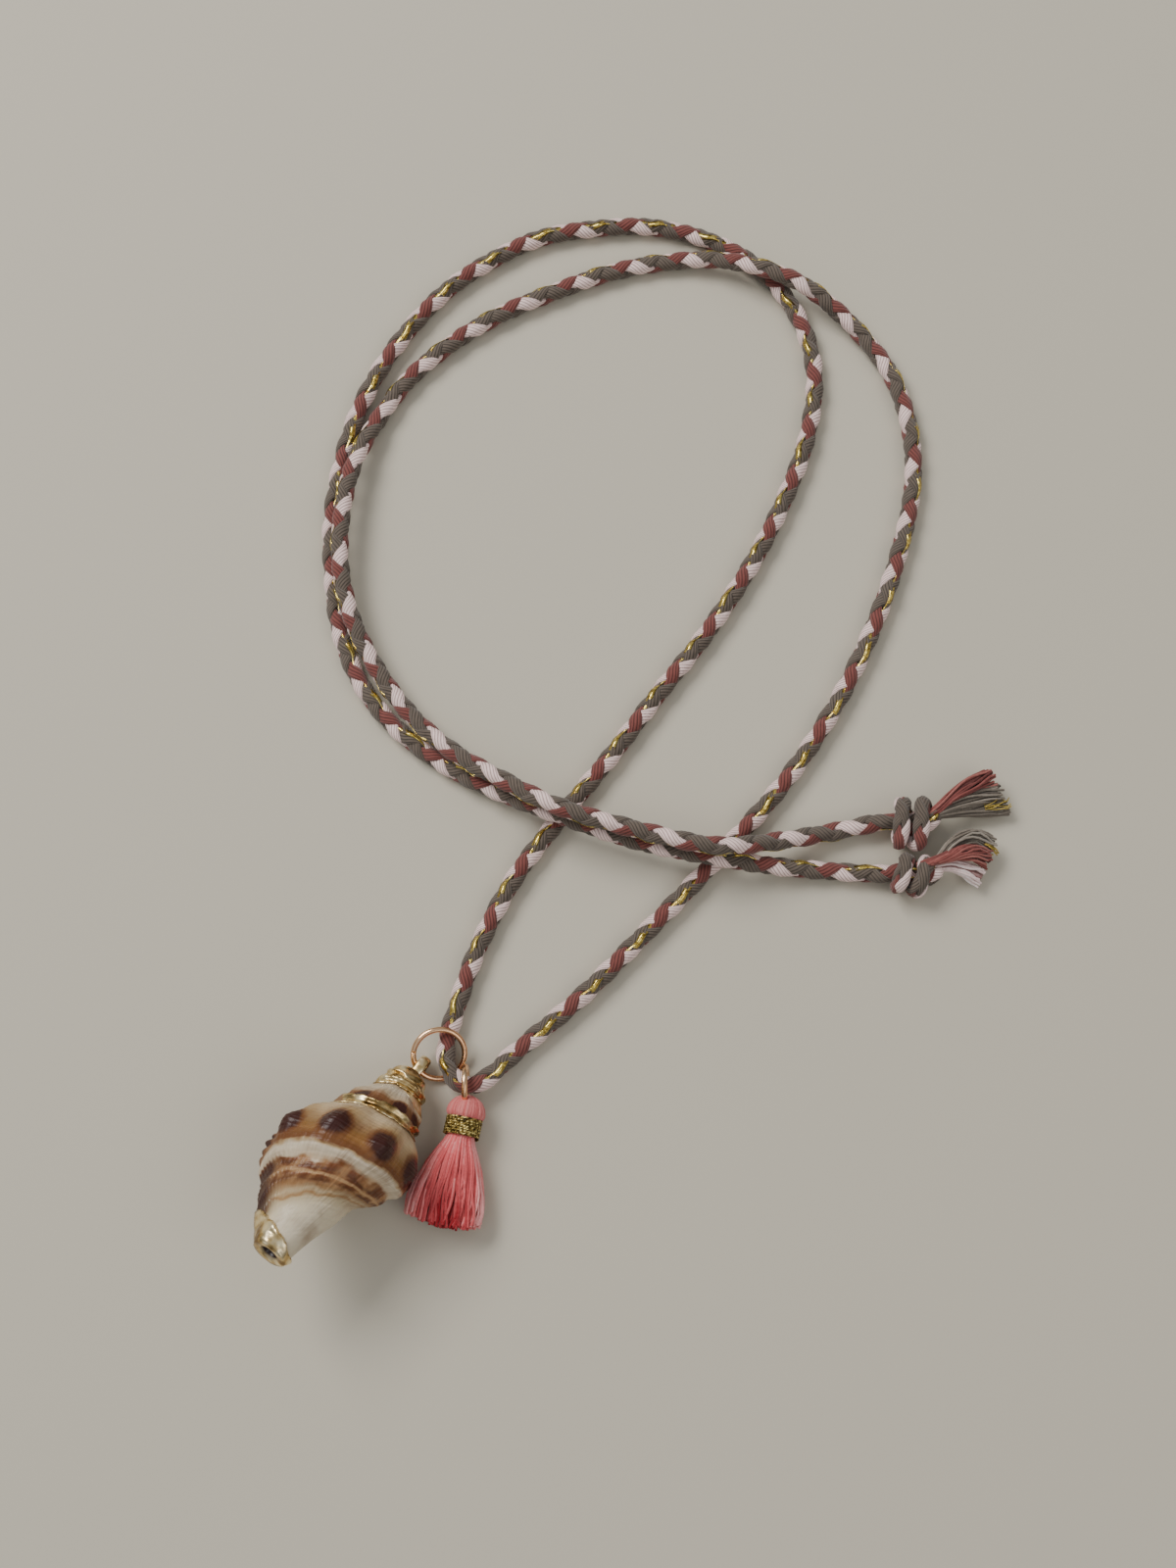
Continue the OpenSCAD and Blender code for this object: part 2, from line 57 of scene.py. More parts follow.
# %% The camera
VIEW_FROM = np.array([-9.0, -89.65, 289.78]) * MM
VIEW_AT = np.array([-9.0, -12.0, 0.0]) * MM


def put(name, data):
    """A new object that stands in the scene."""
    made = bpy.data.objects.new(name, data)
    bpy.context.collection.objects.link(made)
    return made


def aim(thing, stands, looks_at):
    """Stands it there and turns it toward what it looks at."""
    thing.location = stands
    thing.rotation_euler = Vector(np.subtract(looks_at, stands)).to_track_quat("-Z", "Y").to_euler()


def place_camera():
    lens = bpy.data.cameras.new("camera")
    lens.lens = 45
    lens.sensor_width = 36
    lens.clip_start = 0.01
    camera = put("camera", lens)
    aim(camera, VIEW_FROM, VIEW_AT)
    bpy.context.scene.camera = camera


place_camera()
print("camera stands", round(float(np.linalg.norm(VIEW_AT - VIEW_FROM)), 3), "m away")

# %% [markdown]
# ## Light and floor
# One broad, soft light stands at the upper left, as a window would, a weaker one on the other
# side stands for the room, and a pale sky fills the shadows. Metal shows what is around it, so
# the sky isn't one flat tone: it is darker low down, which gives the gold its dark edges. The
# floor is a plain pale sheet.


# %% Colours as light
def linear(*rgb):
    """A colour given as 0 to 255 steps of a screen, turned into light."""
    steps = [c / 255 for c in rgb]
    return tuple(c / 12.92 if c <= 0.04045 else ((c + 0.055) / 1.055) ** 2.4 for c in steps) + (1.0,)


print("screen tone 128 of 255 is", round(linear(128)[0], 3), "of full light")


# %% A workbench for node trees
class Bench:
    """It adds nodes to one tree, joins them and does sums. Plain colours are screen tones."""

    def __init__(self, tree):
        self.tree = tree

    def add(self, kind, inputs=None, **settings):
        made = self.tree.nodes.new(kind)
        for name, value in settings.items():
            setattr(made, name, value)
        for key, value in (inputs or {}).items():
            self.join(value, self.socket(made, key))
        return made

    def socket(self, made, key):
        if isinstance(key, int):
            return made.inputs[key]
        return next(s for s in made.inputs if s.name == key and s.enabled)

    def join(self, value, socket):
        if isinstance(value, bpy.types.NodeSocket):
            self.tree.links.new(value, socket)
        else:
            socket.default_value = value

    def sums(self, operation, *values):
        made = self.add("ShaderNodeMath", operation=operation)
        for i, value in enumerate(values):
            self.join(value, made.inputs[i])
        return made.outputs[0]

    def cos(self, value):
        return self.sums("COSINE", value)

    def sin(self, value):
        return self.sums("SINE", value)

    def minus(self, value, other):
        return self.sums("SUBTRACT", value, other)

    def times(self, *values):
        return reduce(lambda one, other: self.sums("MULTIPLY", one, other), values)

    def plus(self, *values):
        return reduce(lambda one, other: self.sums("ADD", one, other), values)

    def scaled(self, value, factor, shift):
        """value * factor + shift"""
        return self.sums("MULTIPLY_ADD", value, factor, shift)

    def span(self, value, start, end, low=0.0, high=1.0, **settings):
        """From low to high while the value goes from start to end."""
        made = self.add("ShaderNodeMapRange", {"Value": value, "From Min": start, "From Max": end,
                                               "To Min": low, "To Max": high}, **settings)
        return made.outputs[0]

    def blend(self, share, first, second):
        """A colour between the first, which is given by a node, and the second."""
        made = self.add("ShaderNodeMix", data_type="RGBA")
        if isinstance(second, tuple):
            second = linear(*second)
        for value, key in ((share, 0), (first, 6), (second, 7)):
            self.join(value, made.inputs[key])
        return made.outputs[2]

    def ramp(self, share, *stops):
        """A colour looked up in stops of (place, colour). Four numbers are light already."""
        made = self.add("ShaderNodeValToRGB", {0: share})
        row = made.color_ramp.elements
        while len(row) < len(stops):
            row.new(0.5)
        for stop, (place, colour) in zip(row, stops):
            stop.position = place
            stop.color = linear(*colour) if len(colour) == 3 else colour
        return made.outputs[0]

    def fact(self, label):
        """A number kept on the mesh itself."""
        return self.add("ShaderNodeAttribute", attribute_name=label).outputs["Fac"]

    def noise(self, where, scale, detail=2.0):
        look = {"Vector": where, "Scale": scale, "Detail": detail}
        return self.add("ShaderNodeTexNoise", look).outputs[0]

    def place(self):
        """The spot on the piece, in metres."""
        return self.add("ShaderNodeTexCoord").outputs["Object"]

    def lay(self):
        """The map of a strand: millimetres along the cord, and how far round the strand."""
        return self.add("ShaderNodeUVMap", uv_map="lay").outputs[0]

    def parts(self, vector):
        """The three numbers of a vector, by the names X, Y and Z."""
        return self.add("ShaderNodeSeparateXYZ", {0: vector}).outputs

    def flat(self, x, y):
        """Two numbers as one place for a texture."""
        return self.add("ShaderNodeCombineXYZ", {0: x, 1: y}).outputs[0]

    def shape(self, kind, inputs=None, **settings):
        """What a geometry node gives first."""
        return self.add("GeometryNode" + kind, inputs, **settings).outputs[0]

    def vectors(self, operation, first, second=None, scale=None):
        made = self.add("ShaderNodeVectorMath", operation=operation)
        self.join(first, made.inputs[0])
        if second is not None:
            self.join(second, made.inputs[1])
        if scale is not None:
            self.join(scale, made.inputs["Scale"])
        return made.outputs["Vector"]


print("the workbench can:", ", ".join(name for name in vars(Bench) if name[0] != "_"))


# %% Sky, window light and floor
def make_sky():
    world = bpy.data.worlds.new("sky")
    bpy.context.scene.world = world
    world.use_nodes = True
    world.node_tree.nodes.clear()
    b = Bench(world.node_tree)
    place = b.add("ShaderNodeTexCoord").outputs["Generated"]
    tone = b.ramp(b.parts(place)["Z"], (0.02, (0.16, 0.15, 0.13, 1)), (0.75, (0.80, 0.82, 0.84, 1)))
    glow = b.add("ShaderNodeBackground", {"Color": tone, "Strength": 0.62})
    b.add("ShaderNodeOutputWorld", {"Surface": glow.outputs[0]})


def window_light(name, place, width, watts, colour):
    lamp = bpy.data.lights.new(name, "AREA")
    lamp.shape = "RECTANGLE"
    lamp.size, lamp.size_y = width, width * 0.7
    lamp.energy = watts
    lamp.color = colour
    aim(put(name, lamp), place, (0, 0, 0))


def new_material(name):
    """A material, its workbench and its skin."""
    made = bpy.data.materials.new(name)
    made.use_nodes = True
    return made, Bench(made.node_tree), made.node_tree.nodes["Principled BSDF"]


def make_floor():
    flat = bpy.data.meshes.new("floor")
    flat.from_pydata([(-2, -2, 0), (2, -2, 0), (2, 2, 0), (-2, 2, 0)], [], [(0, 1, 2, 3)])
    floor = put("floor", flat)
    paint, _, skin = new_material("pale_floor")
    skin.inputs["Base Color"].default_value = linear(198, 191, 175)
    skin.inputs["Roughness"].default_value = 0.9
    flat.materials.append(paint)


make_sky()
window_light("window", (-0.55, 0.45, 0.75), width=0.6, watts=9.0, colour=(1.0, 0.98, 0.95))
window_light("room", (0.7, -0.5, 0.9), width=0.9, watts=2.5, colour=(1.0, 0.95, 0.88))
make_floor()

# %% [markdown]
# ## Yarn, and what makes it look like yarn
# The cord, the tufts and the tassel are all spun thread. Up close a strand shows thin yarns that
# lie side by side, and each yarn is a touch lighter or darker than the next. An image could hold
# that, but a small shader group does it at any scale: it reads the strand's own map (along and
# around), draws the furrows between the yarns and gives back a height and a shade, which is
# painted shade, darker in the furrows.


# %% Shader group: yarns laid side by side
def yarn_group():
    """Height and painted shade of thin yarns that wind slowly round a strand, darker in the furrows."""
    group = bpy.data.node_groups.new("yarns_side_by_side", "ShaderNodeTree")
    group.interface.new_socket("Map", in_out="INPUT", socket_type="NodeSocketVector")
    for label, value in (("Yarns", 7.0), ("Lean", 0.03), ("Fuzz", 0.15)):
        socket = group.interface.new_socket(label, in_out="INPUT", socket_type="NodeSocketFloat")
        socket.default_value = value
    for label in ("Height", "Shade"):
        group.interface.new_socket(label, in_out="OUTPUT", socket_type="NodeSocketFloat")
    b = Bench(group)
    given, result = b.add("NodeGroupInput").outputs, b.add("NodeGroupOutput").inputs
    axes = b.parts(given["Map"])
    along, around = axes["X"], axes["Y"]
    lane = b.times(b.scaled(along, given["Lean"], around), given["Yarns"])
    crest = b.sums("ABSOLUTE", b.sin(b.times(lane, math.pi)))
    patches = b.noise(b.flat(b.times(along, 0.9), b.sums("FLOOR", lane)), 1.7)
    fibres = b.noise(b.flat(b.times(along, 2.0), b.times(lane, 4.0)), 3.0, 3.0)
    fluff = b.times(fibres, given["Fuzz"])
    b.join(b.plus(b.sums("POWER", crest, 0.6), fluff), result["Height"])
    # Painted shade: darker in the furrows between the yarns; patches and fibres vary the tone at random.
    uneven = b.scaled(patches, 0.5, b.times(fibres, 0.25))
    b.join(b.times(b.scaled(crest, 0.45, 0.45), b.plus(uneven, 0.72)), result["Shade"])
    return group


YARNS = yarn_group()
print("shader group:", YARNS.name, "gives", [s.name for s in YARNS.interface.items_tree][-2:])


# %% Cotton yarn material for a strand of the braid
def finish(b, skin, colour, height, depth, strength=1.0, **plain):
    """Colour, fine relief of that depth in metres, and other inputs of the skin by their names."""
    bump = b.add("ShaderNodeBump", {"Height": height, "Distance": depth, "Strength": strength})
    b.join(colour, skin.inputs["Base Color"])
    b.join(bump.outputs[0], skin.inputs["Normal"])
    for label, value in plain.items():
        b.join(value, skin.inputs[label.replace("_", " ")])


def cotton(name, light, dark):
    """Matt cotton: its light tone on the crest of each yarn, and painted shade in the furrow."""
    made, b, skin = new_material(name)
    furrows = b.add("ShaderNodeGroup", node_tree=YARNS)
    b.join(b.lay(), furrows.inputs["Map"])
    b.join(12.0, furrows.inputs["Yarns"])
    tone = b.ramp(furrows.outputs["Shade"], (0.38, dark), (0.92, light))
    finish(b, skin, tone, furrows.outputs["Height"], 0.0001, 0.8, Roughness=0.85, Sheen_Weight=0.25,
           Sheen_Roughness=0.5, Specular_IOR_Level=0.25)
    return made


# Each cotton: its tone on the crest of a yarn, and the dark of the painted shade in the furrows.
ROSE = cotton("rose_cotton", (132, 75, 69), (44, 20, 19))
TAUPE = cotton("taupe_cotton", (108, 96, 86), (30, 25, 23))
PALE_PINK = cotton("pale_pink_cotton", (255, 228, 223), (146, 106, 103))
print("cotton:", ROSE.name, TAUPE.name, PALE_PINK.name)

# %% [markdown]
# ## The path of the cord
# The cord is folded at the shell, so it is one path: out of the lower knot, round the coil under
# the other half, through the fold, round the coil again on top and into the upper knot.
# The same points as in the CAD source are written here, in millimetres, and made into metres
# later. A smooth curve through the points, not a chain of straight pieces, is what limp cotton
# would follow.

# %% Points of the two halves of the cord
UNDER_HALF = [
    (36, -26.5, 2.2), (27.5, -26, 1.6), (19, -25.5, 2.8), (10, -24.5, 4.7),
    (-1.5, -22, 4.2), (-13.5, -18, 4.7), (-23.5, -13.5, 2.5), (-31.5, -9, 1.5),
    (-38.5, -3.5, 1.5), (-44, 3.5, 1.5), (-47.5, 12, 1.5), (-49, 21, 1.5),
    (-49.5, 30, 1.5), (-48.5, 39, 1.5), (-46.5, 47.5, 1.5), (-43, 56, 1.5),
    (-38, 64, 1.5), (-32, 71, 1.5), (-25.5, 76, 1.5), (-17, 80.5, 1.5),
    (-8.5, 82.2, 1.5), (0.5, 82.65, 1.5), (9, 80.8, 1.5), (16.5, 77, 1.5),
    (22, 71.5, 1.5), (26, 64, 1.5), (27.5, 55.5, 1.5), (26, 45, 1.5),
    (22, 34, 1.5), (16.5, 23, 1.5), (9.5, 12, 1.5), (1.5, 1.5, 1.5),
    (-5.5, -8, 1.5), (-13, -17.5, 1.5), (-20, -27, 1.5), (-25.5, -38, 1.5),
    (-28.5, -47, 1.5), (-29.8, -52, 1.7), (-29.6, -55, 2.35), (-28.2, -57.4, 2.95),
    (-25.8, -58.2, 3.05),
]
OVER_HALF = [
    (36, -18.5, 2.4), (28, -20, 1.9), (19.5, -22, 4.4), (10, -23.5, 7.8),
    (-1.5, -21, 7.3), (-13.5, -17.5, 7.8), (-22.5, -12.5, 5.7), (-29.5, -8, 4.2),
    (-36, -2, 3.2), (-41.5, 5.5, 3), (-45.5, 13.5, 3.8), (-47.5, 22, 4.3),
    (-47.5, 31, 4.3), (-46, 39.5, 3.6), (-42.5, 48, 1.9), (-37.5, 55.5, 1.5),
    (-31, 61.5, 1.5), (-23.5, 66.5, 1.5), (-15, 70.5, 1.5), (-6, 74, 1.5),
    (3, 76, 1.5), (11, 76, 2.6), (18.5, 73.5, 4.7), (25.5, 70.5, 4.6),
    (31.5, 66.5, 2.8), (36, 62, 1.5), (40, 55.5, 1.5), (42.5, 46, 1.5),
    (42.5, 36.5, 1.5), (39.5, 24, 1.5), (35, 12, 1.5), (29, 0, 1.5),
    (21, -12, 1.5), (10.5, -24, 1.5), (-1, -36, 1.5), (-10, -45, 1.5),
    (-17, -51, 1.5), (-20.5, -54, 1.8), (-23, -56.5, 2.5), (-25.8, -58.2, 3.05),
]


# %% A smooth curve through points
def runs(line):
    """How far along the line each of its points is."""
    return np.concatenate([[0], np.cumsum(np.linalg.norm(np.diff(line, axis=0), axis=1))])


def smooth_line(points, step=0.5):
    """Catmull-Rom through the points, with its samples at even steps (all in mm)."""
    p = np.array(points, float)
    p = np.vstack([2 * p[0] - p[1], p, 2 * p[-1] - p[-2]])
    gaps = np.sqrt(np.linalg.norm(np.diff(p, axis=0), axis=1))
    t = np.concatenate([[0], np.cumsum(np.maximum(gaps, 1e-6))])

    def mixed(i, j, one, other, x):
        return (t[j] - x) / (t[j] - t[i]) * one + (x - t[i]) / (t[j] - t[i]) * other

    bits = []
    for i in range(1, len(p) - 2):
        x = np.linspace(t[i], t[i + 1], 24, endpoint=False)[:, None]
        a1, a2, a3 = (mixed(k, k + 1, p[k], p[k + 1], x) for k in (i - 1, i, i + 1))
        b1, b2 = mixed(i - 1, i + 1, a1, a2, x), mixed(i, i + 2, a2, a3, x)
        bits.append(mixed(i, i + 1, b1, b2, x))
    fine = np.vstack(bits + [p[-2][None]])
    run = runs(fine)
    even = np.linspace(0, run[-1], max(2, int(round(run[-1] / step)) + 1))
    return np.stack([np.interp(even, run, fine[:, k]) for k in range(3)], axis=1)


for label, half in (("under", UNDER_HALF), ("over", OVER_HALF)):
    print(label, "half of the cord:", round(float(runs(smooth_line(half))[-1])), "mm")

# %% [markdown]
# ## The knots
# Each end of the cord is tied in an overhand knot. The cord runs through the middle, comes out,
# winds back over itself more than once and is tucked through its own turns. A torus or two
# would give the outline, but a real knot shows the same braid turning over itself, so the path
# itself is tied: the braid then follows it by the same rule as everywhere else.


# %% Path of one overhand knot
# In mm: half of the cord, height of a knot's middle, and the lowest that the cord's middle lies.
CORD_HALF, KNOT_HEIGHT, LOWEST = 1.35, 2.9, 1.53
FULL_TURN = 2 * math.pi


def knot_path(at, turn, width, tail):
    """Points from the cord's entry to the root of the tuft, for a knot of that width."""
    half_wide, half_high, pitch = width / 2 - CORD_HALF, 1.52, 3.0
    points = [(-1.6, 0.6, -0.3), (0.8, 0.8, -0.5), (2.4, 1.7, -0.9)]
    for angle in np.linspace(0.12 * math.pi, 2.85 * math.pi, 16):
        x = pitch / 2 - pitch * (angle - math.pi / 2) / FULL_TURN
        points.append((x, half_wide * math.cos(angle), half_high * math.sin(angle)))
    points += [(-1.5, -1.2, -0.7), (0.6, -0.7, -0.4), (2.4, -0.2, 0.0)]
    c, s = math.cos(math.radians(turn)), math.sin(math.radians(turn))
    placed = [(at[0] + c * x - s * y, at[1] + s * x + c * y, KNOT_HEIGHT + z) for x, y, z in points]
    return placed + [tail]


upper_knot = knot_path((39.55, -19.0), 4, 9.2, (43.9, -17.4, 3.4))
lower_knot = knot_path((39.45, -26.95), -6, 7.2, (44.05, -25.6, 3.5))
upper_way = OVER_HALF[::-1] + upper_knot
lower_way = UNDER_HALF[::-1] + lower_knot
cord_line = smooth_line(lower_way[::-1] + upper_way[1:])
cord_line[:, 2] = np.maximum(cord_line[:, 2], LOWEST)
cord_run = runs(cord_line)


def nearest(line, point):
    return int(np.argmin(np.linalg.norm(line - np.array(point, float), axis=1)))


knots_at = nearest(cord_line, UNDER_HALF[0]), nearest(cord_line, OVER_HALF[0])
print("cord with its knots:", round(float(cord_run[-1])), "mm; knots end at",
      [round(float(cord_run[i])) for i in knots_at], "mm")


# %% Frames that don't twist, and a path as an object
def unit(vectors):
    """Each vector at length 1."""
    return vectors / np.linalg.norm(vectors, axis=1)[:, None]


def frames(line, first, last):
    """Side and lift at each point: upright from first to last, and past those points turned
    as little as they can be, because in a knot the cord also runs straight up."""
    ahead = unit(np.gradient(line, axis=0))
    lift = np.array([0, 0, 1.0]) - ahead * ahead[:, 2:]
    for at, way in ((last, 1), (first, -1)):
        while 0 <= at + way < len(line):
            v = line[at + way] - line[at]
            mirrored = [d - 2 * np.dot(v, d) / np.dot(v, v) * v for d in (lift[at], ahead[at])]
            w = ahead[at + way] - mirrored[1]
            k = max(np.dot(w, w), 1e-12)
            lift[at + way] = mirrored[0] - 2 * np.dot(w, mirrored[0]) / k * w
            at += way
    lift = unit(lift - ahead * np.sum(lift * ahead, axis=1)[:, None])
    return np.cross(ahead, lift), lift


def turned(side, lift, angle):
    c, s = np.cos(angle)[:, None], np.sin(angle)[:, None]
    return c * side + s * lift, c * lift - s * side


def path_object(name, line, **facts):
    """A chain of edges in metres. Facts are numbers or vectors that the node trees read."""
    chain = bpy.data.meshes.new(name)
    chain.from_pydata((line * MM).tolist(), [(i, i + 1) for i in range(len(line) - 1)], [])
    for label, values in facts.items():
        values = np.asarray(values, float)
        kind, field = ("FLOAT_VECTOR", "vector") if values.ndim == 2 else ("FLOAT", "value")
        chain.attributes.new(label, kind, "POINT").data.foreach_set(field, values.ravel())
    return put(name, chain)


cord_side, cord_lift = frames(cord_line, *knots_at)
print("frames at", len(cord_line), "points of the cord")

# %% [markdown]
# ## The braid
# The cord is a round braid of four strands. Two of them (rose, and taupe with a gold filament)
# wind one way, and two (pale pink and taupe) the other way, and each passes over and under in
# turn. It could be drawn as a bump on a tube, but then its outline would be smooth. Here one
# Geometry Nodes tree lays one strand along the path: a grid is bent into a tube, and every point
# of it is worked out from how far along the cord it is.


# %% How a tree that lays something along a path starts, reads the path and ends
SOCKETS = {int: "NodeSocketInt", float: "NodeSocketFloat"}


def start_tree(name, **inputs):
    """A tree with a path, those inputs and a material; its workbench, what it is given, its
    result, and the path as a curve."""
    tree = bpy.data.node_groups.new(name, "GeometryNodeTree")
    tree.interface.new_socket("Geometry", in_out="INPUT", socket_type="NodeSocketGeometry")
    tree.interface.new_socket("Geometry", in_out="OUTPUT", socket_type="NodeSocketGeometry")
    for label, value in inputs.items():
        socket = tree.interface.new_socket(label.replace("_", " "), in_out="INPUT",
                                           socket_type=SOCKETS[type(value)])
        socket.default_value = value
    tree.interface.new_socket("Material", in_out="INPUT", socket_type="NodeSocketMaterial")
    b = Bench(tree)
    given, result = b.add("NodeGroupInput").outputs, b.add("NodeGroupOutput")
    return tree, b, given, result, b.shape("MeshToCurve", {"Mesh": given["Geometry"]})


def read_path(b, curve, along, *labels):
    """At that share of the path: its point, its direction and each fact that is asked for."""
    found = []
    for label in labels:
        kind = "FLOAT_VECTOR" if label in ("side", "lift") else "FLOAT"
        named = b.add("GeometryNodeInputNamedAttribute", {"Name": label}, data_type=kind)
        value = next(s for s in named.outputs if s.enabled)
        reader = b.add("GeometryNodeSampleCurve", {"Curves": curve, "Value": value, "Factor": along},
                       mode="FACTOR", data_type=kind)
        found.append(next(s for s in reader.outputs if s.enabled and s.name == "Value"))
    return reader.outputs["Position"], reader.outputs["Tangent"], *found


def end_tree(b, bent, given, result):
    """Every tree here ends alike: smooth shading, real geometry and the material."""
    smooth = b.shape("SetShadeSmooth", {"Geometry": bent})
    real = b.shape("RealizeInstances", {"Geometry": smooth})
    b.join(b.shape("SetMaterial", {"Geometry": real, "Material": given["Material"]}), result.inputs[0])


def blend_vectors(b, first, one, second, other):
    """first * one + second * other"""
    return b.vectors("ADD", b.vectors("SCALE", first, scale=one), b.vectors("SCALE", second, scale=other))


print("helpers:", ", ".join(x.__name__ for x in (start_tree, read_path, end_tree, blend_vectors)))


# %% Node tree: one strand of a braid
def strand_tree():
    tree, b, given, result, curve = start_tree(
        "strand_of_a_braid", Rings=800, Sides=16, Way=1.0, Start=0.0, Pitch=0.0095, Centre_Radius=0.0007,
        Weave=0.0003, Half_Width=0.0007, Half_Thickness=0.0005, Yarns=6.0, Yarn_Depth=0.05,
        Ride_Height=0.0, Ride_Width=0.0, Ride_Start=0.0, Ride_Turns=0.0)
    grid = b.add("GeometryNodeMeshGrid", {"Size X": 1.0, "Size Y": 1.0,
                                          "Vertices X": given["Rings"], "Vertices Y": given["Sides"]})
    mapped = b.add("GeometryNodeStoreNamedAttribute", {"Geometry": grid.outputs["Mesh"], "Name": "lay"},
                   data_type="FLOAT2", domain="CORNER")
    # The map says how many millimetres along the cord and how far round the strand a spot is.
    uv = b.parts(grid.outputs["UV Map"])
    in_mm = b.times(uv["X"], b.shape("CurveLength", {"Curve": curve}), 1000.0)
    b.join(b.flat(in_mm, uv["Y"]), b.socket(mapped, "Value"))
    place = b.parts(b.shape("InputPosition"))
    along, around = b.plus(place["X"], 0.5), b.plus(place["Y"], 0.5)
    middle, ahead, side, lift, turns, plump = read_path(b, curve, along, "side", "lift", "turns", "plump")
    # Where the strand is in the cord: an angle, and a distance that swings in and out.
    angle = b.times(b.scaled(turns, given["Way"], given["Start"]), FULL_TURN)
    swing = b.times(b.cos(b.times(turns, 2 * FULL_TURN)), given["Weave"])
    away = b.times(b.scaled(swing, given["Way"], given["Centre Radius"]), plump)
    outward = blend_vectors(b, side, b.cos(angle), lift, b.sin(angle))
    sideways = blend_vectors(b, lift, b.cos(angle), side, b.times(b.sin(angle), -1.0))
    centre = b.vectors("ADD", middle, b.vectors("SCALE", outward, scale=away))
    # The strand's own direction leans by its pitch, the length of one full turn.
    lean = b.sums("DIVIDE", b.times(away, given["Way"], FULL_TURN), given["Pitch"])
    heading = b.vectors("NORMALIZE", b.vectors("ADD", ahead, b.vectors("SCALE", sideways, scale=lean)))
    across = b.vectors("NORMALIZE", b.vectors("CROSS_PRODUCT", outward, heading))
    # A flat filament winds round the strand: it lies on top of it and sinks into it in turn.
    ride = b.times(b.scaled(turns, given["Ride Turns"], given["Ride Start"]), FULL_TURN)
    sink = b.scaled(b.sin(b.times(turns, 2.3)), 0.3, 0.75)
    crest = b.minus(b.times(b.cos(ride), b.plus(sink, 1.0)), sink)
    ride_out, ride_over = b.times(crest, given["Ride Height"]), b.times(b.sin(ride), given["Ride Width"])
    centre = b.vectors("ADD", centre, blend_vectors(b, outward, ride_out, across, ride_over))
    facing = blend_vectors(b, outward, b.cos(ride), across, b.times(b.sin(ride), 0.5))
    outward = b.vectors("NORMALIZE", facing)
    across = b.vectors("NORMALIZE", b.vectors("CROSS_PRODUCT", outward, heading))
    # The section: an oval with a low ridge for each yarn.
    theta = b.times(around, FULL_TURN)
    wound = b.scaled(turns, 4.0, b.times(theta, given["Yarns"]))
    size = b.times(b.scaled(b.cos(wound), given["Yarn Depth"], 1.0), plump)
    up = b.times(b.cos(theta), given["Half Thickness"], size)
    over = b.times(b.sin(theta), given["Half Width"], size)
    point = b.vectors("ADD", centre, blend_vectors(b, outward, up, across, over))
    bent = b.shape("SetPosition", {"Geometry": mapped.outputs[0], "Position": point})
    closed = b.shape("MergeByDistance", {"Geometry": bent, "Distance": 1e-7})
    end_tree(b, closed, given, result)
    return tree


STRAND = strand_tree()
print("node tree:", STRAND.name, "with", len(STRAND.nodes), "nodes")


# %% Grow a piece from its path, and freeze it
def inputs_of(tree):
    """The name of each input, and the key under which a modifier keeps its value."""
    return {s.name: s.identifier for s in tree.interface.items_tree
            if s.item_type == "SOCKET" and s.in_out == "INPUT"}


def grow(host, tree, **inputs):
    """Runs the tree on the path, keeps the plain mesh and takes the modifier away."""
    modifier = host.modifiers.new(tree.name, "NODES")
    modifier.node_group = tree
    names = inputs_of(tree)
    for label, value in inputs.items():
        modifier[names[label.replace("_", " ")]] = value
    depsgraph = bpy.context.evaluated_depsgraph_get()
    plain = bpy.data.meshes.new_from_object(host.evaluated_get(depsgraph), depsgraph=depsgraph)
    host.modifiers.clear()
    chain = host.data
    host.data = plain
    plain.name = host.name
    bpy.data.meshes.remove(chain)
    return host


def settle(piece, slot, *nodes):
    """The finished piece rides on the necklace and stands for its CAD nodes."""
    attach(piece, "root")
    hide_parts(*nodes)
    print(f"{piece.name}: {sum(len(p.vertices) - 2 for p in piece.data.polygons)} triangles")


print("the strand tree asks for:", ", ".join(list(inputs_of(STRAND))[1:]))

# %% [markdown]
# A braid that has been worn and coiled has slowly turned in places, so that now one pair of
# strands lies on top and now the other, and its pitch is longer where it was pulled. The table
# says how many turns the braid has made and how far it is rolled over at some places, and in
# between both change evenly. One pitch for the whole cord would do for a rope seen from afar.

# %% How the braid lies along the cord
# Columns: mm from the lower knot, turns of the braid, turns by which the cord is rolled over.
LAY = np.array([
    (-45, -5.4, 0), (-22.5, -3.15, 0.06), (-10.5, -2, 0.25), (0, -0.85, 0.2),
    (8.5, 0, 0.2), (18.5, 1, 0.2), (90.5, 9, 0.2), (117.5, 12, 0.21),
    (140, 14.3, 0.22), (157.5, 16, 0.27), (204.5, 21, 0.29), (230.5, 24, 0.21),
    (277, 29, 0.21), (315.5, 33, 0.21), (372, 39, 0.24), (381.6, 40, 0.26),
    (428.6, 45, 0.26), (445.6, 46.8, 0.26), (477.6, 50, 0.18), (505.6, 53, 0.14),
    (525.1, 55, 0.15), (572.1, 60, 0.16), (605.6, 63.4, 0.15), (622.6, 65, 0.12),
    (664.6, 70, 0.04), (685.6, 72.1, 0), (713.6, 75, 0), (733.1, 77, 0),
    (745.6, 78.3, 0), (756.5, 79, 0.3), (771.5, 81, 0.54), (792, 83.2, 0.54),
])
KNOT_SQUEEZE, END_TAPER = 0.1, 0.8


def ease(a, b, x):
    """0 on the a side, 1 past b, and smooth between."""
    t = np.clip((np.asarray(x, float) - a) / (b - a), 0, 1)
    return t * t * (3 - 2 * t)


def look_up(table, x, column=1):
    """What a column of the table says at x, with straight lines between its rows."""
    return np.interp(x, table[:, 0], table[:, column])


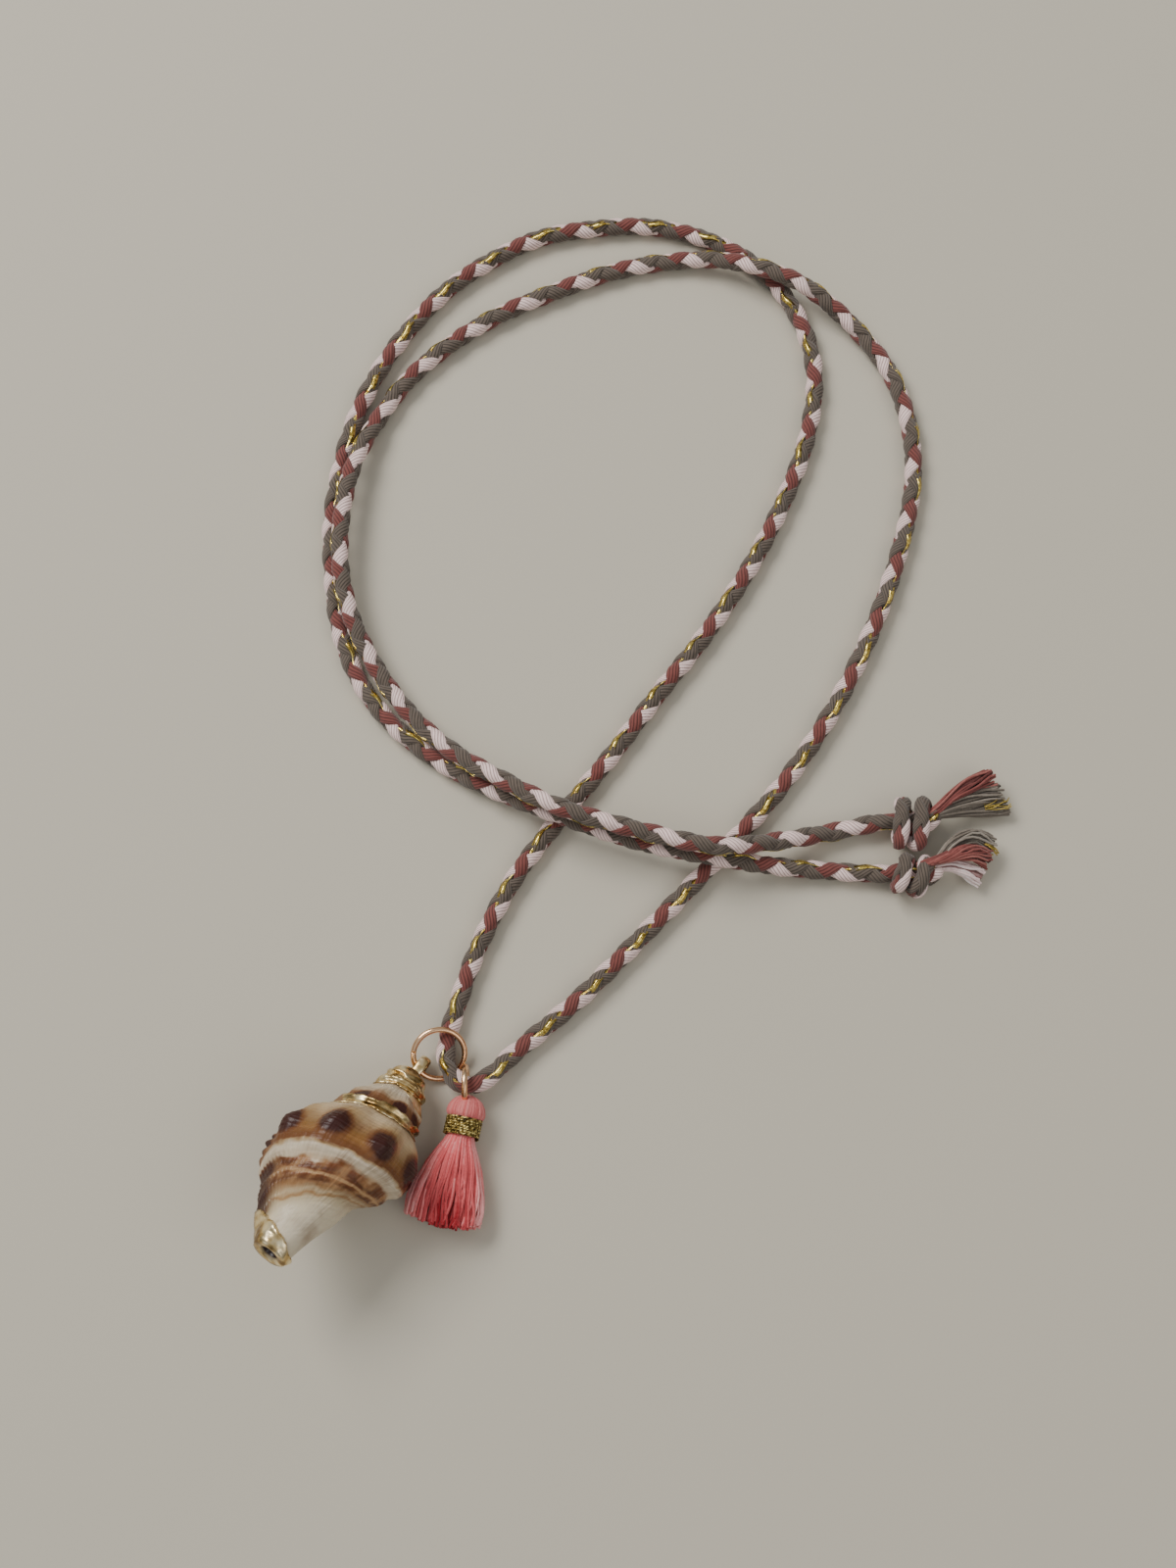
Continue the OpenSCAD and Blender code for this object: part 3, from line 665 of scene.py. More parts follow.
from_knot, past_knot = (cord_run - cord_run[at] for at in knots_at)
turns, rolled = look_up(LAY, from_knot), look_up(LAY, from_knot, 2)
side, lift = turned(cord_side, cord_lift, FULL_TURN * rolled)
loose = ease(-4, 3, from_knot) * (1 - ease(-3, 4, past_knot))
to_end = np.minimum(cord_run, cord_run[-1] - cord_run)
plump = (1 - KNOT_SQUEEZE * (1 - loose)) * np.minimum(1, to_end / END_TAPER)
BRAID = {"side": side, "lift": lift, "turns": turns, "plump": plump}
print("the braid makes", round(float(turns[-1] - turns[0])), "turns in all")

# %% Lay the four strands
# Half sizes of a strand's oval, how far its middle is from the cord's, and how far that swings.
HALF_WIDTH, HALF_THICKNESS = 0.00102, 0.00056
LAID = {"Centre_Radius": 0.0007, "Weave": 0.00022}
STRANDS = [("strand_rose", 1.0, 0.0, ROSE), ("strand_taupe_gold", 1.0, 0.5, TAUPE),
           ("strand_pale_pink", -1.0, 0.0, PALE_PINK), ("strand_taupe", -1.0, 0.5, TAUPE)]
for label, way, start, cloth in STRANDS:
    strand = grow(path_object(label, cord_line, **BRAID), STRAND, **LAID, Rings=1900, Sides=18, Way=way,
                  Start=start, Half_Width=HALF_WIDTH, Half_Thickness=HALF_THICKNESS, Yarns=6.0,
                  Yarn_Depth=0.04, Material=cloth)
    settle(strand, "braid", "cord_under", "cord_over", "knot_lower", "knot_upper")


# %% [markdown]
# ## The gold filament
# A flat strip of metallized film runs with one taupe strand. It turns round the strand, so it
# shows only as short bright dashes, about one on each turn of the braid. It could be painted on
# the strand, but then it wouldn't glint by itself. So the same tree lays it as a strip of its
# own with a flat section, which lies on top of the strand and sinks into it in turn.

# %% Bright film, and the filament laid with it
def film_material():
    made, b, skin = new_material("gold_film")
    crinkle = b.noise(b.lay(), 2.4, 3.0)
    # Painted glints: the film's colour goes from dark to bright with its crinkles.
    tone = b.ramp(crinkle, (0.35, (150, 116, 30)), (0.62, (250, 226, 128)))
    finish(b, skin, tone, crinkle, 0.00008, Metallic=0.9, Roughness=0.22)
    return made


FILM = film_material()
filament = grow(path_object("gold_filament", cord_line, **BRAID), STRAND, **LAID, Rings=2600, Sides=6,
                Way=1.0, Start=0.5, Half_Width=0.0005, Half_Thickness=0.00005, Yarns=0.0, Yarn_Depth=0.0,
                Ride_Height=HALF_THICKNESS, Ride_Width=HALF_WIDTH, Ride_Start=0.45, Ride_Turns=-1.0,
                Material=FILM)
settle(filament, "braid", "cord_under", "cord_over")

# %% [markdown]
# ## Loose threads
# Past each knot the braid is opened into three cut brushes of thread, and the tassel is made of
# nothing else. Hair could be simulated, but cut cotton thread only fans out from where it is
# tied, so a second node tree lays many thin threads along one path: each keeps its own place in
# an oval that widens along the path, leans to its neighbours and stops a little short.


# %% Node tree: many threads along a path
# The share of a full turn from one thread to the next, and nearly one full turn in radians.
GOLDEN, ANY_PHASE = 0.6180339887, 6.28


def thread_tree():
    tree, b, given, result, curve = start_tree(
        "threads_along_a_path", Threads=20, Bends=12, Half_Thickness=0.00017, Depth=0.8, Locks=0.0,
        Gather=0.0, Waver=0.1, Short=0.06, Short_Sides=0.0, Twist=0.0, Seed=1)
    line = b.shape("CurvePrimitiveLine", {"End": (1.0, 0.0, 0.0)})
    line = b.shape("ResampleCurve", {"Curve": line, "Count": given["Bends"]})
    seats = b.shape("Points", {"Count": given["Threads"]})
    copies = b.shape("InstanceOnPoints", {"Points": seats, "Instance": line})
    real = b.shape("RealizeInstances", {"Geometry": copies})
    number = b.add("GeometryNodeCurveOfPoint").outputs["Curve Index"]
    along = b.add("GeometryNodeSplineParameter").outputs["Factor"]

    def chance(shift):
        pick = b.add("FunctionNodeRandomValue", data_type="FLOAT")
        b.join(number, pick.inputs["ID"])
        b.join(b.plus(given["Seed"], float(shift)), pick.inputs["Seed"])
        return next(o for o in pick.outputs if o.enabled)

    # Golden-ratio steps spread the threads evenly round the oval, whatever their number.
    round_it = b.times(b.sums("FRACT", b.times(number, GOLDEN)), FULL_TURN)
    # Locks: each thread is pulled toward the nearest of a few even places round the oval.
    step = b.sums("DIVIDE", FULL_TURN, b.sums("MAXIMUM", given["Locks"], 1.0))
    lock = b.times(b.sums("ROUND", b.sums("DIVIDE", round_it, step)), step)
    pull = b.times(given["Gather"], b.sums("SQRT", along))
    angle = b.scaled(b.minus(lock, round_it), pull, round_it)
    # Each thread wavers at its own rate, and the whole brush can be twisted.
    rate = b.scaled(chance(1), 7.0, 5.0)
    wave = b.sin(b.scaled(along, rate, b.times(chance(2), ANY_PHASE)))
    sway = b.times(wave, given["Waver"], along)
    angle = b.plus(angle, sway, b.times(given["Twist"], along, FULL_TURN))
    # Some threads lie deeper than others, and some are cut shorter, most of all at the sides.
    buried = b.times(b.sums("POWER", chance(3), 1.6), given["Depth"])
    reach = b.times(b.minus(1.0, buried), b.scaled(sway, 0.4, 1.0))
    sides = b.sums("POWER", b.cos(round_it), 2.0)
    cut = b.scaled(chance(4), given["Short"], b.times(sides, given["Short Sides"]))
    where = b.times(along, b.minus(1.0, cut))
    middle, _, side, lift, wide, high = read_path(b, curve, where, "side", "lift", "wide", "high")
    out, up = b.times(b.cos(angle), reach, wide), b.times(b.sin(angle), reach, high)
    point = b.vectors("ADD", middle, blend_vectors(b, side, out, lift, up))
    bent = b.shape("SetPosition", {"Geometry": real, "Position": point})
    facts = {"tint": chance(5), "buried": buried, "along": along, "edge": sides}
    for label, value in facts.items():
        kept = b.add("GeometryNodeStoreNamedAttribute", {"Geometry": bent, "Name": label},
                     data_type="FLOAT", domain="POINT")
        b.join(value, b.socket(kept, "Value"))
        bent = kept.outputs[0]
    profile = b.shape("CurvePrimitiveCircle", {"Resolution": 5, "Radius": given["Half Thickness"]})
    tubes = b.shape("CurveToMesh", {"Curve": bent, "Profile Curve": profile, "Fill Caps": True})
    end_tree(b, tubes, given, result)
    return tree


THREADS = thread_tree()
print("node tree:", THREADS.name, "with", len(THREADS.nodes), "nodes")


# %% Loose thread material
def loose_thread(name, light, deep, pale, heart_shade=0.0):
    """Threads differ a little from each other, and painted shade darkens those that lie deeper. The
    last number says how much more painted shade there is low in the middle of the hank than at its sides."""
    made, b, skin = new_material(name)
    place = b.place()
    fluff, patches = b.noise(place, 2600.0), b.noise(place, 260.0, 1.0)
    # Painted shade: threads that lie deeper, and those low in the middle of the hank, are darker; tint,
    # patches and fluff vary the tone at random.
    tone = b.scaled(b.fact("tint"), 0.4, b.times(b.fact("buried"), 0.9))
    tone = b.plus(tone, b.scaled(patches, 0.5, -0.25), b.scaled(fluff, 0.3, -0.15))
    low, middle = b.sums("POWER", b.fact("along"), 2.0), b.scaled(b.fact("edge"), -1.5, 1.0)
    tone = b.plus(tone, b.times(low, middle, heart_shade))
    colour = b.ramp(tone, (0.02, pale), (0.32, light), (0.85, deep))
    finish(b, skin, colour, fluff, 0.0001, Roughness=0.75, Sheen_Weight=0.2, Specular_IOR_Level=0.3)
    return made


# Each dye: its own tone, its painted shade deep inside and the palest thread.
DYES = {
    "rose": ((138, 73, 68), (58, 24, 23), (172, 106, 98)),
    "taupe": ((118, 108, 97), (44, 38, 34), (158, 148, 136)),
    "pink": ((240, 216, 213), (154, 112, 110), (252, 246, 244)),
}
LOOSE = {dye: loose_thread(f"loose_{dye}_thread", *tones) for dye, tones in DYES.items()}
LOOSE["gold"] = FILM
print("loose threads:", ", ".join(LOOSE))


# %% Brushes of thread past the knots
def brush_path(name, points, wide, high):
    """wide and high: half sizes of the brush at its root and at its cut tip, in mm."""
    line = smooth_line(points, 0.4)
    side, lift = frames(line, 0, len(line) - 1)
    share = ease(0, 1, runs(line) / runs(line)[-1])
    return path_object(name, line, side=side, lift=lift, wide=(wide[0] + (wide[1] - wide[0]) * share) * MM,
                       high=(high[0] + (high[1] - high[0]) * share) * MM)


# Node, dye, threads, thread half thickness in mm, half widths at root and tip, twist, path.
BRUSHES = [
    ("tuft_upper", "rose", 38, 0.19, (0.65, 1.45), 0.1,
     [(42.3, -17.9, 3.3), (43.5, -17.1, 3.6), (46, -15, 4), (49.2, -13, 3.6), (52.5, -11.4, 2.8)]),
    ("tuft_upper", "taupe", 32, 0.19, (0.6, 1.4), -0.1,
     [(42.3, -18.1, 3.3), (43.5, -17.4, 3.4), (46.5, -16, 3.3), (50, -14.8, 2.8), (53.9, -13.8, 2)]),
    ("tuft_upper", "taupe", 30, 0.19, (0.6, 1.3), 0.1,
     [(42.3, -18.3, 3.2), (43.5, -17.7, 3.2), (46.5, -17.1, 2.6), (50.5, -16.5, 2), (54.86, -15.9, 1.4)]),
    ("tuft_upper", "gold", 7, 0.1, (0.5, 1.4), 0.4,
     [(50.9, -16.3, 2.8), (52, -16.1, 2.7), (53.3, -15.9, 2.4), (54.9, -15.6, 1.9)]),
    ("tuft_lower", "taupe", 34, 0.19, (0.7, 1.45), 0.12,
     [(42.2, -25.4, 3.4), (43.5, -24.9, 3.8), (45.5, -22.7, 4.6), (48.6, -21.4, 4.1), (52.1, -22.5, 2.3)]),
    ("tuft_lower", "gold", 5, 0.1, (0.4, 1.2), 0.4,
     [(50.4, -22.3, 3.9), (51.1, -22.5, 3.6), (51.9, -22.9, 3), (52.7, -23.5, 2.2)]),
    ("tuft_lower", "rose", 60, 0.19, (0.4, 1.5), 0.45,
     [(40.4, -25.6, 3.6), (41.2, -25.5, 4.7), (42.6, -25.2, 5.2), (44.4, -24.6, 5.1), (46.4, -23.9, 4.7),
      (48.9, -23.6, 3.8), (51.5, -24.4, 2)]),
    ("tuft_lower", "pink", 40, 0.19, (0.6, 1.35), 0.1,
     [(42.2, -26.1, 3.3), (43.5, -25.8, 3.6), (45.5, -25.6, 3.4), (47.9, -26.2, 2.6), (50.2, -27.2, 1.6)]),
]
for i, (node, dye, count, half, spread, twist, points) in enumerate(BRUSHES):
    path = brush_path(f"brush_{i + 1}_{dye}", points, spread, (0.9 * spread[0], 0.75 * spread[1]))
    brush = grow(path, THREADS, Threads=count, Bends=12, Half_Thickness=half * MM, Depth=0.9, Waver=0.35,
                 Short=0.1, Twist=twist, Seed=10 * i, Material=LOOSE[dye])
    settle(brush, "yarn", node)

# %% [markdown]
# ## The tassel
# A tassel is a hank of thread folded over a ring, tied under the fold and cut. The fold makes
# the round head, the tie a narrow waist, and the cut threads a skirt that fans out and lies flat
# on the surface. Its threads gather in locks, and between them the inner threads show deeper red,
# which is painted shade.

# %% Head and skirt
TASSEL_AT = np.array([-26.15, -59.68, 3.05])
TASSEL_TURN = math.radians(-12)
# Columns: distance from the tip of the head, half width, half height.
HEAD = np.array([(0.15, 0.5, 0.5), (0.45, 1.45, 1.45), (0.95, 2.05, 2.05), (1.6, 2.5, 2.5),
                 (2.3, 2.72, 2.72), (2.9, 2.7, 2.7), (3.25, 2.3, 2.3), (3.5, 1.95, 1.95),
                 (6.6, 1.85, 1.85)])
SKIRT = np.array([(5.2, 1.7, 1.7), (6.6, 2.05, 2.0), (8, 2.85, 2.3), (10.4, 4.05, 2.5), (13.4, 5.05, 2.6),
                  (16, 5.55, 2.5), (19.2, 5.6, 2.3)])


def tassel_axes():
    c, s = math.cos(TASSEL_TURN), math.sin(TASSEL_TURN)
    return np.array([c, s, 0]), np.array([s, -c, 0]), np.array([0, 0, 1.0])


def even_steps(table, steps):
    """Even distances from the tip of the head, with the half width and half height there."""
    h = np.linspace(table[0, 0], table[-1, 0], steps)
    return h, look_up(table, h), look_up(table, h, 2)


def hank_path(name, table, steps=40):
    across, down, up = tassel_axes()
    h, wide, high = even_steps(table, steps)
    return path_object(name, TASSEL_AT + h[:, None] * down, side=np.tile(-across, (steps, 1)),
                       lift=np.tile(up, (steps, 1)), wide=wide * MM, high=high * MM)


# The deep colour of the tassel's thread is painted shade inside the hank, strongest low in its middle.
TASSEL_THREAD = loose_thread("tassel_thread", (232, 106, 108), (160, 22, 34), (246, 170, 168), heart_shade=0.6)
HEAD_THREAD = loose_thread("head_thread", (206, 98, 98), (140, 50, 52), (222, 130, 126))
skirt = grow(hank_path("tassel_skirt", SKIRT), THREADS, Threads=560, Bends=16, Half_Thickness=0.0002,
             Depth=0.7, Locks=19.0, Gather=0.5, Waver=0.09, Short=0.05, Short_Sides=0.075, Seed=3,
             Material=TASSEL_THREAD)
settle(skirt, "tassel_thread", "tassel")
head = grow(hank_path("tassel_head", HEAD, 60), THREADS, Threads=89, Bends=26, Half_Thickness=0.00019,
            Depth=0.06, Waver=0.02, Short=0.0, Seed=5, Material=HEAD_THREAD)
settle(head, "tassel_thread", "tassel")


# %% [markdown]
# Under the threads there is more thread. Modelling all of it would cost much and show nothing,
# so a plain core in the same dye, darkened with the painted shade of buried thread, fills the head
# and the skirt. It is made, like the shell and the gold later, from rings of points: a skin is laid
# over them and shut at both ends.

# %% A skin over rings of points, and the stuffing of head and skirt
def surface(name, rows, material, closed=False, **facts):
    """A closed skin over rings of points (mm). If the rows aren't closed on themselves, the first
    and the last ring are shut with a fan. Faces are turned outward by the sign of the volume."""
    rows = np.asarray(rows, float)
    n, m = rows.shape[:2]
    i, k = np.meshgrid(np.arange(n if closed else n - 1), np.arange(m), indexing="ij")
    below, above, k2 = (i * m).ravel(), ((i + 1) % n * m).ravel(), ((k + 1) % m).ravel()
    k = k.ravel()
    faces = np.stack([below + k, below + k2, above + k2, above + k], axis=1)
    points = rows.reshape(-1, 3)
    fans = np.zeros((0, 3), int)
    if not closed:
        points = np.vstack([points, rows[0].mean(0), rows[-1].mean(0)])
        j, j2, last = np.arange(m), (np.arange(m) + 1) % m, (n - 1) * m
        fans = np.vstack([np.stack([np.full(m, n * m), j2, j], axis=1),
                          np.stack([np.full(m, n * m + 1), last + j, last + j2], axis=1)])
    triangles = np.vstack([faces[:, :3], faces[:, [0, 2, 3]], fans])
    a, b, c = (points[triangles[:, q]] for q in range(3))
    if np.sum(a * np.cross(b, c)) < 0:
        faces, fans = faces[:, ::-1], fans[:, ::-1]
    made = bpy.data.meshes.new(name)
    made.from_pydata((points * MM).tolist(), [], faces.tolist() + fans.tolist())
    for label, values in facts.items():
        values = np.broadcast_to(np.asarray(values, float), rows.shape[:2])
        if not closed:
            values = np.concatenate([values.ravel(), [values[0].mean(), values[-1].mean()]])
        made.attributes.new(label, "FLOAT", "POINT").data.foreach_set("value", values.ravel())
    made.polygons.foreach_set("use_smooth", [True] * len(made.polygons))
    made.update()
    made.materials.append(material)
    return put(name, made)


def round_angles(count):
    """Even angles round a ring."""
    return np.linspace(0, FULL_TURN, count, endpoint=False)


def oval_rows(table, shrink, steps=40, around=40):
    across, down, up = tassel_axes()
    h, wide, high = (x[:, None, None] for x in even_steps(table, steps))
    a = round_angles(around)[:, None]
    return TASSEL_AT + h * down + wide * shrink * np.cos(a) * across + high * shrink * np.sin(a) * up


# The stuffing's buried value gives it the painted shade of deep thread.
for label, table, shrink, thread in (("head_stuffing", HEAD, 0.97, HEAD_THREAD),
                                     ("skirt_stuffing", SKIRT[:-1], 0.6, TASSEL_THREAD)):
    settle(surface(label, oval_rows(table, shrink), thread, buried=0.7), "tassel_thread", "tassel")

# %% [markdown]
# ## The binding of the tassel
# Two-ply metallic thread is wound seven times round the waist. A ribbed tube would do from afar,
# but the real thread glints in grains, one for each turn of its two plies. The strand tree is
# used once more, on a path that is itself a coil.

# %% Wind the binding
# In mm: radius of the coil, where it starts from the tip of the head, how long it is, and how far
# apart the turns of its two plies are.
WINDINGS, WAIST_RADIUS, WAIST_FROM, WAIST_LONG, PLY_PITCH = 7, 2.43, 3.35, 2.62, 0.95


def binding_path(name):
    across, down, up = tassel_axes()
    around = np.linspace(0, FULL_TURN * WINDINGS, 100 * WINDINGS)
    out = np.cos(around)[:, None] * across + np.sin(around)[:, None] * up
    h = WAIST_FROM + WAIST_LONG * around / around[-1]
    line = TASSEL_AT + h[:, None] * down + WAIST_RADIUS * out
    ahead = unit(np.gradient(line, axis=0))
    return path_object(name, line, side=np.cross(ahead, out), lift=out, turns=runs(line) / PLY_PITCH,
                       plump=np.ones(len(line)))


def metallic_thread():
    made, b, skin = new_material("metallic_thread")
    glints = b.noise(b.place(), 2400.0)
    # Painted glints: the thread's colour goes from near black to bright in fine grains.
    tone = b.ramp(glints, (0.36, (58, 46, 20)), (0.5, (140, 116, 54)), (0.66, (246, 226, 150)))
    finish(b, skin, tone, glints, 0.00012, Metallic=0.75, Roughness=0.34)
    return made


METALLIC_THREAD = metallic_thread()
for ply, start in (("binding_ply_a", 0.0), ("binding_ply_b", 0.5)):
    coil = grow(binding_path(ply), STRAND, Rings=1300, Sides=8, Way=1.0, Start=start,
                Centre_Radius=0.00012, Weave=0.0, Half_Width=0.00017, Half_Thickness=0.00014,
                Yarns=0.0, Yarn_Depth=0.0, Pitch=PLY_PITCH * MM, Material=METALLIC_THREAD)
    settle(coil, "metallic_thread", "tassel_binding")

# %% [markdown]
# ## The shell
# A shell grows by laying lime along the rim of its mouth while it turns, each turn a fixed share
# bigger than the one before. So one rule draws it: every place on it is a distance along the
# axis and a turn from its back, and what lies at one turn lies again one turn later, at half
# the distance. The rule is the same as in the CAD source. Sculpting would be an eye's guess;
# the rule also says where the colours go, because the animal paints its bands as it grows.

# %% The rule of the shell
# Growth in one turn, place of the last suture and ends of the axis in mm. In degrees: where the
# lip is, the gap between lip and whorl, one of the knobs on the last whorl and their spacing.
GROWTH, SUTURE_AT, TIP, END = 2.0, 12.2, 2.8, 36.2
LIP_TURN, SEAM, KNOB_AT, KNOB_STEP = -96.0, 8.0, 33, 45
# Distance along the axis and radius there, for the envelope, the last whorl's base and the neck;
# the bend is how far the axis swerves.
ENVELOPE = np.array([(2.7, 1.3), (3, 1.9), (3.5, 2.4), (4.4, 2.9), (5.2, 3.3), (7, 3.9), (9, 4.75), (11, 5.8),
                     (13, 7.1), (15, 8.1), (17, 8.9), (19, 9.2), (21, 9.4), (40, 9.4)])
WHORL_BASE = np.array([(0, 11.5), (18, 10.8), (20, 10.1), (21.8, 9.4), (23.5, 8.6), (25.2, 7.4), (26.9, 6),
                       (28.7, 4.3), (30.4, 2.6), (32, 1), (80, 0.5)])
NECK = np.array([(0, -4), (10, 0), (14, 3.4), (22, 4.8), (25, 4.8), (27, 4.6), (29, 4), (31, 3.4), (33, 3),
                 (35, 2.7), (37, 1.7)])
BEND = np.array([(0, 0), (3, 0), (5, 0.35), (9, 0.85), (13, 1.2), (17, 0.7), (21, 0.5), (25, 0.4),
                 (32, 0.5), (37, 0.5)])
SHELL_AT = np.array([-33.3, -55, 1.64])


def spin(axis, degrees):
    return np.array(Matrix.Rotation(math.radians(degrees), 3, axis))


HEADING, RISE, ROLL = 234.2, 23.5, 189
SHELL_FRAME = spin("Z", HEADING) @ spin("Y", 90 - RISE) @ spin("Z", ROLL)


def soft(way, a, b):
    """The greater of two numbers (way 1) or the smaller (way -1), with a rounded corner."""
    return (a + b + way * np.sqrt((a - b) ** 2 + 0.49)) / 2


def lane_of(s, turn):
    """0 at the last suture, 1 where the next one would be, negative up the spire."""
    return np.log2(s * GROWTH ** (turn / 360) / SUTURE_AT)


def shell_radius(s, turn):
    lane = lane_of(s, turn)
    share = lane - np.floor(lane)
    notch = 0.17 * np.exp(-np.minimum(share / 0.17, (1 - share) / 0.08) ** 2)
    t = (turn - KNOB_AT) / KNOB_STEP
    off_knob = (t - np.round(t)) * KNOB_STEP
    knob = s / 18 * np.exp(-(off_knob / 11) ** 2 - ((share - 0.62) / 0.14) ** 2)
    lip = 0.5 * np.exp(-((turn - LIP_TURN) / 14) ** 2) * ease(15, 19, s) * (1 - ease(27, 32, s))
    fade = ease(3, 6, s) * (1 - ease(22, 27, s * GROWTH ** (turn / 360)) * ease(13, 16, s))
    base = look_up(WHORL_BASE, s * 1.75 ** (turn / 360))
    r = soft(1, soft(-1, look_up(ENVELOPE, s), base), look_up(NECK, s))
    return r * (1 - fade * (notch - 0.02)) + fade * knob + lip


def shell_point(s, turn, r):
    """Place in the model, in mm."""
    s, a, r = np.broadcast_arrays(s, np.radians(turn), r)
    own = np.stack([r * np.cos(a), -r * np.sin(a) - look_up(BEND, s), s], axis=-1)
    return SHELL_AT + own @ SHELL_FRAME.T


print("radius on a knob of the last whorl:", round(float(shell_radius(18.0, KNOB_AT)), 1), "mm")

# %% [markdown]
# The rule gives the big shape. A shell picked up on a beach also has fine cords that run with
# the whorl, growth lines across them, beads beside the lip and a frilled rim. These are added as
# small heights, so that they catch the light, and not only painted.

# %% Fine relief, in mm
def waves(x, y, seed, count=6):
    """Smooth bumps from a few sine waves with seeded directions, between -1 and 1."""
    dice = np.random.default_rng(seed)
    along_x, along_y = dice.uniform(-1, 1, count), dice.uniform(-1, 1, count)
    phases = dice.uniform(0, ANY_PHASE, count)
    return sum(np.sin(i * x + j * y + phase) for i, j, phase in zip(along_x, along_y, phases)) / count


def relief(s, turn):
    lane, a = lane_of(s, turn), np.radians(turn)
    # Cords with the whorl, 20 broad and 33 fine ones to a doubling, and growth lines across them.
    cords = 0.035 * np.cos(FULL_TURN * 20 * lane)
    cords = cords + 0.02 * np.cos(FULL_TURN * 33 * lane + 2 * np.sin(3 * a))
    growth = 0.03 * np.sin(27 * a + 2.5 * np.sin(5 * lane)) * np.sin(11 * a + 1) + 0.02 * np.sin(61 * a)
    # Rows of beads beside the lip, whose rim is frilled.
    beads = 0
    for at in (0.935, 0.99, 1.06, 1.13, 1.2):
        beads = beads + np.exp(-((lane - at) / 0.018) ** 2)
    near_lip = ease(-18, -55, turn) * ease(14, 17, s)
    beads = beads * near_lip * (0.12 + 0.14 * np.cos(a * 60 + 5 * np.floor(lane * 14)))
    frill = 0.28 * np.cos(FULL_TURN * 11 * lane) * np.exp(-((turn - LIP_TURN) / 7) ** 2)
    frill = frill * ease(14, 17, s) * (1 - ease(25, 29, s))
    # Uneven ground, and on the spire a low rib at each knob and a groove at each suture.
    bumps = 0.15 * waves(s * 1.7, a * 9, 4) * ease(4, 8, s) * (1 - ease(23, 28, s))
    share = lane - np.floor(lane)
    at_knobs = np.cos((a - math.radians(KNOB_AT)) * 360 / KNOB_STEP)
    ribs = 0.024 * s * at_knobs * np.exp(-((share - 0.42) / 0.28) ** 2)
    groove = -0.02 * s * (np.exp(-(share / 0.035) ** 2) + np.exp(-((1 - share) / 0.035) ** 2))
    bumps = bumps + (ribs + groove) * ease(4, 7, s) * (1 - ease(0.8, 0.9, lane))
    return ease(3, 7, s) * (1 - 0.8 * ease(25, 30, s)) * (cords + growth) + beads + frill + bumps


heights = relief(*np.meshgrid(np.linspace(TIP, END, 200), np.linspace(LIP_TURN, LIP_TURN + 360, 400)))
print("relief from", round(float(heights.min()), 2), "to", round(float(heights.max()), 2), "mm")

# %% [markdown]
# The wall is a skin over rings, one for each distance along the axis. A ring starts at the lip,
# runs once round the shell and closes through the mouth. A mouth could be cut out of a closed
# shell, but a ring that dips inside keeps the skin whole, and lip and chamber follow the rule too.

# %% The wall of the shell and its mouth
def shell_wall(rows=250, around=300, mouth=24):
    s = TIP + (END - TIP) * np.linspace(0, 1, rows) ** 1.2
    turn = np.linspace(LIP_TURN, LIP_TURN + 360 - SEAM, around)
    s_wall, turn_wall = np.meshgrid(s, turn, indexing="ij")
    radius = shell_radius(s_wall, turn_wall) + relief(s_wall, turn_wall)
    wall = shell_point(s_wall, turn_wall, radius)
    # The mouth can be shut, straight from the whorl to the lip, or open, down into a chamber. It
    # is open in its middle and shut at both ends, and the share says which.
    s_in, k = np.meshgrid(s, np.arange(mouth), indexing="ij")
    behind, lip = shell_radius(s_in, 360 + LIP_TURN - SEAM), shell_radius(s_in, LIP_TURN)
    u = (k + 1) / (mouth + 1)
    shut = shell_point(s_in, LIP_TURN - SEAM + SEAM * u, behind + (lip - behind) * u)
    u = k / (mouth - 1)
    deep_turn = LIP_TURN - SEAM / 2 + 110 * np.sin(math.pi * u)
    low = behind * 0.93
    high = np.maximum(shell_radius(s_in, deep_turn + SEAM / 2) - 1.2, low + 0.3)
    chamber = shell_point(s_in, deep_turn, low + (high - low) * ease(0.08, 0.92, u))
    groove = 1 - (1 - 0.22) * ease(26, 33, s_in)
    share = (ease(13.5, 18, s_in) * groove * (1 - ease(END - 2, END - 0.5, s_in)))[..., None]
    points = np.concatenate([wall, (1 - share) * shut + share * chamber], axis=1)
    all_s = np.concatenate([s_wall, s_in], axis=1)
    all_turn = np.concatenate([turn_wall, np.full_like(s_in, LIP_TURN + 360 - SEAM)], axis=1)
    inside = np.concatenate([np.zeros_like(s_wall), share[..., 0] * np.sin(math.pi * u) ** 0.5], axis=1)
    # The end of the canal is open: its wall turns in and goes back as a small hole.
    middle, back = points[-1].mean(0), shell_point(END - 3, 0, 0) - shell_point(END, 0, 0)
    for size, deep in ((0.8, 0.02), (0.66, 0.1), (0.58, 0.5), (0.5, 1.0)):
        points = np.concatenate([points, [middle + (points[rows - 1] - middle) * size + back * deep]])
        all_s, all_turn, inside = (np.concatenate([x, x[-1:]]) for x in (all_s, all_turn, inside))
    return points, all_s, all_turn, inside


points, s_all, turn_all, inside = shell_wall()
print("rings of the shell and points on each:", points.shape[:2])


# %% Where the spots, the sliding band and the orange flecks are
def spots(s, turn, places):
    """1 in the middle of a spot, 0 at its edge and beyond. Places: turn, s, half width in mm."""
    best = np.zeros_like(s)
    for at_turn, at_s, half in places:
        along = np.radians(turn - at_turn) * look_up(ENVELOPE, at_s)
        best = np.maximum(best, 1 - np.hypot(along, s - at_s) / half)
    return best


def drift(lane, turn):
    """The first brown band slides down as it comes round from the lip."""
    slide = np.interp(turn, (-90, -63, -41, -8, 19, 53, 90), (-0.04, -0.03, 0, 0.03, 0.035, 0.05, 0.05))
    return slide * np.exp(-((lane - 1.0 - slide) / 0.06) ** 2)


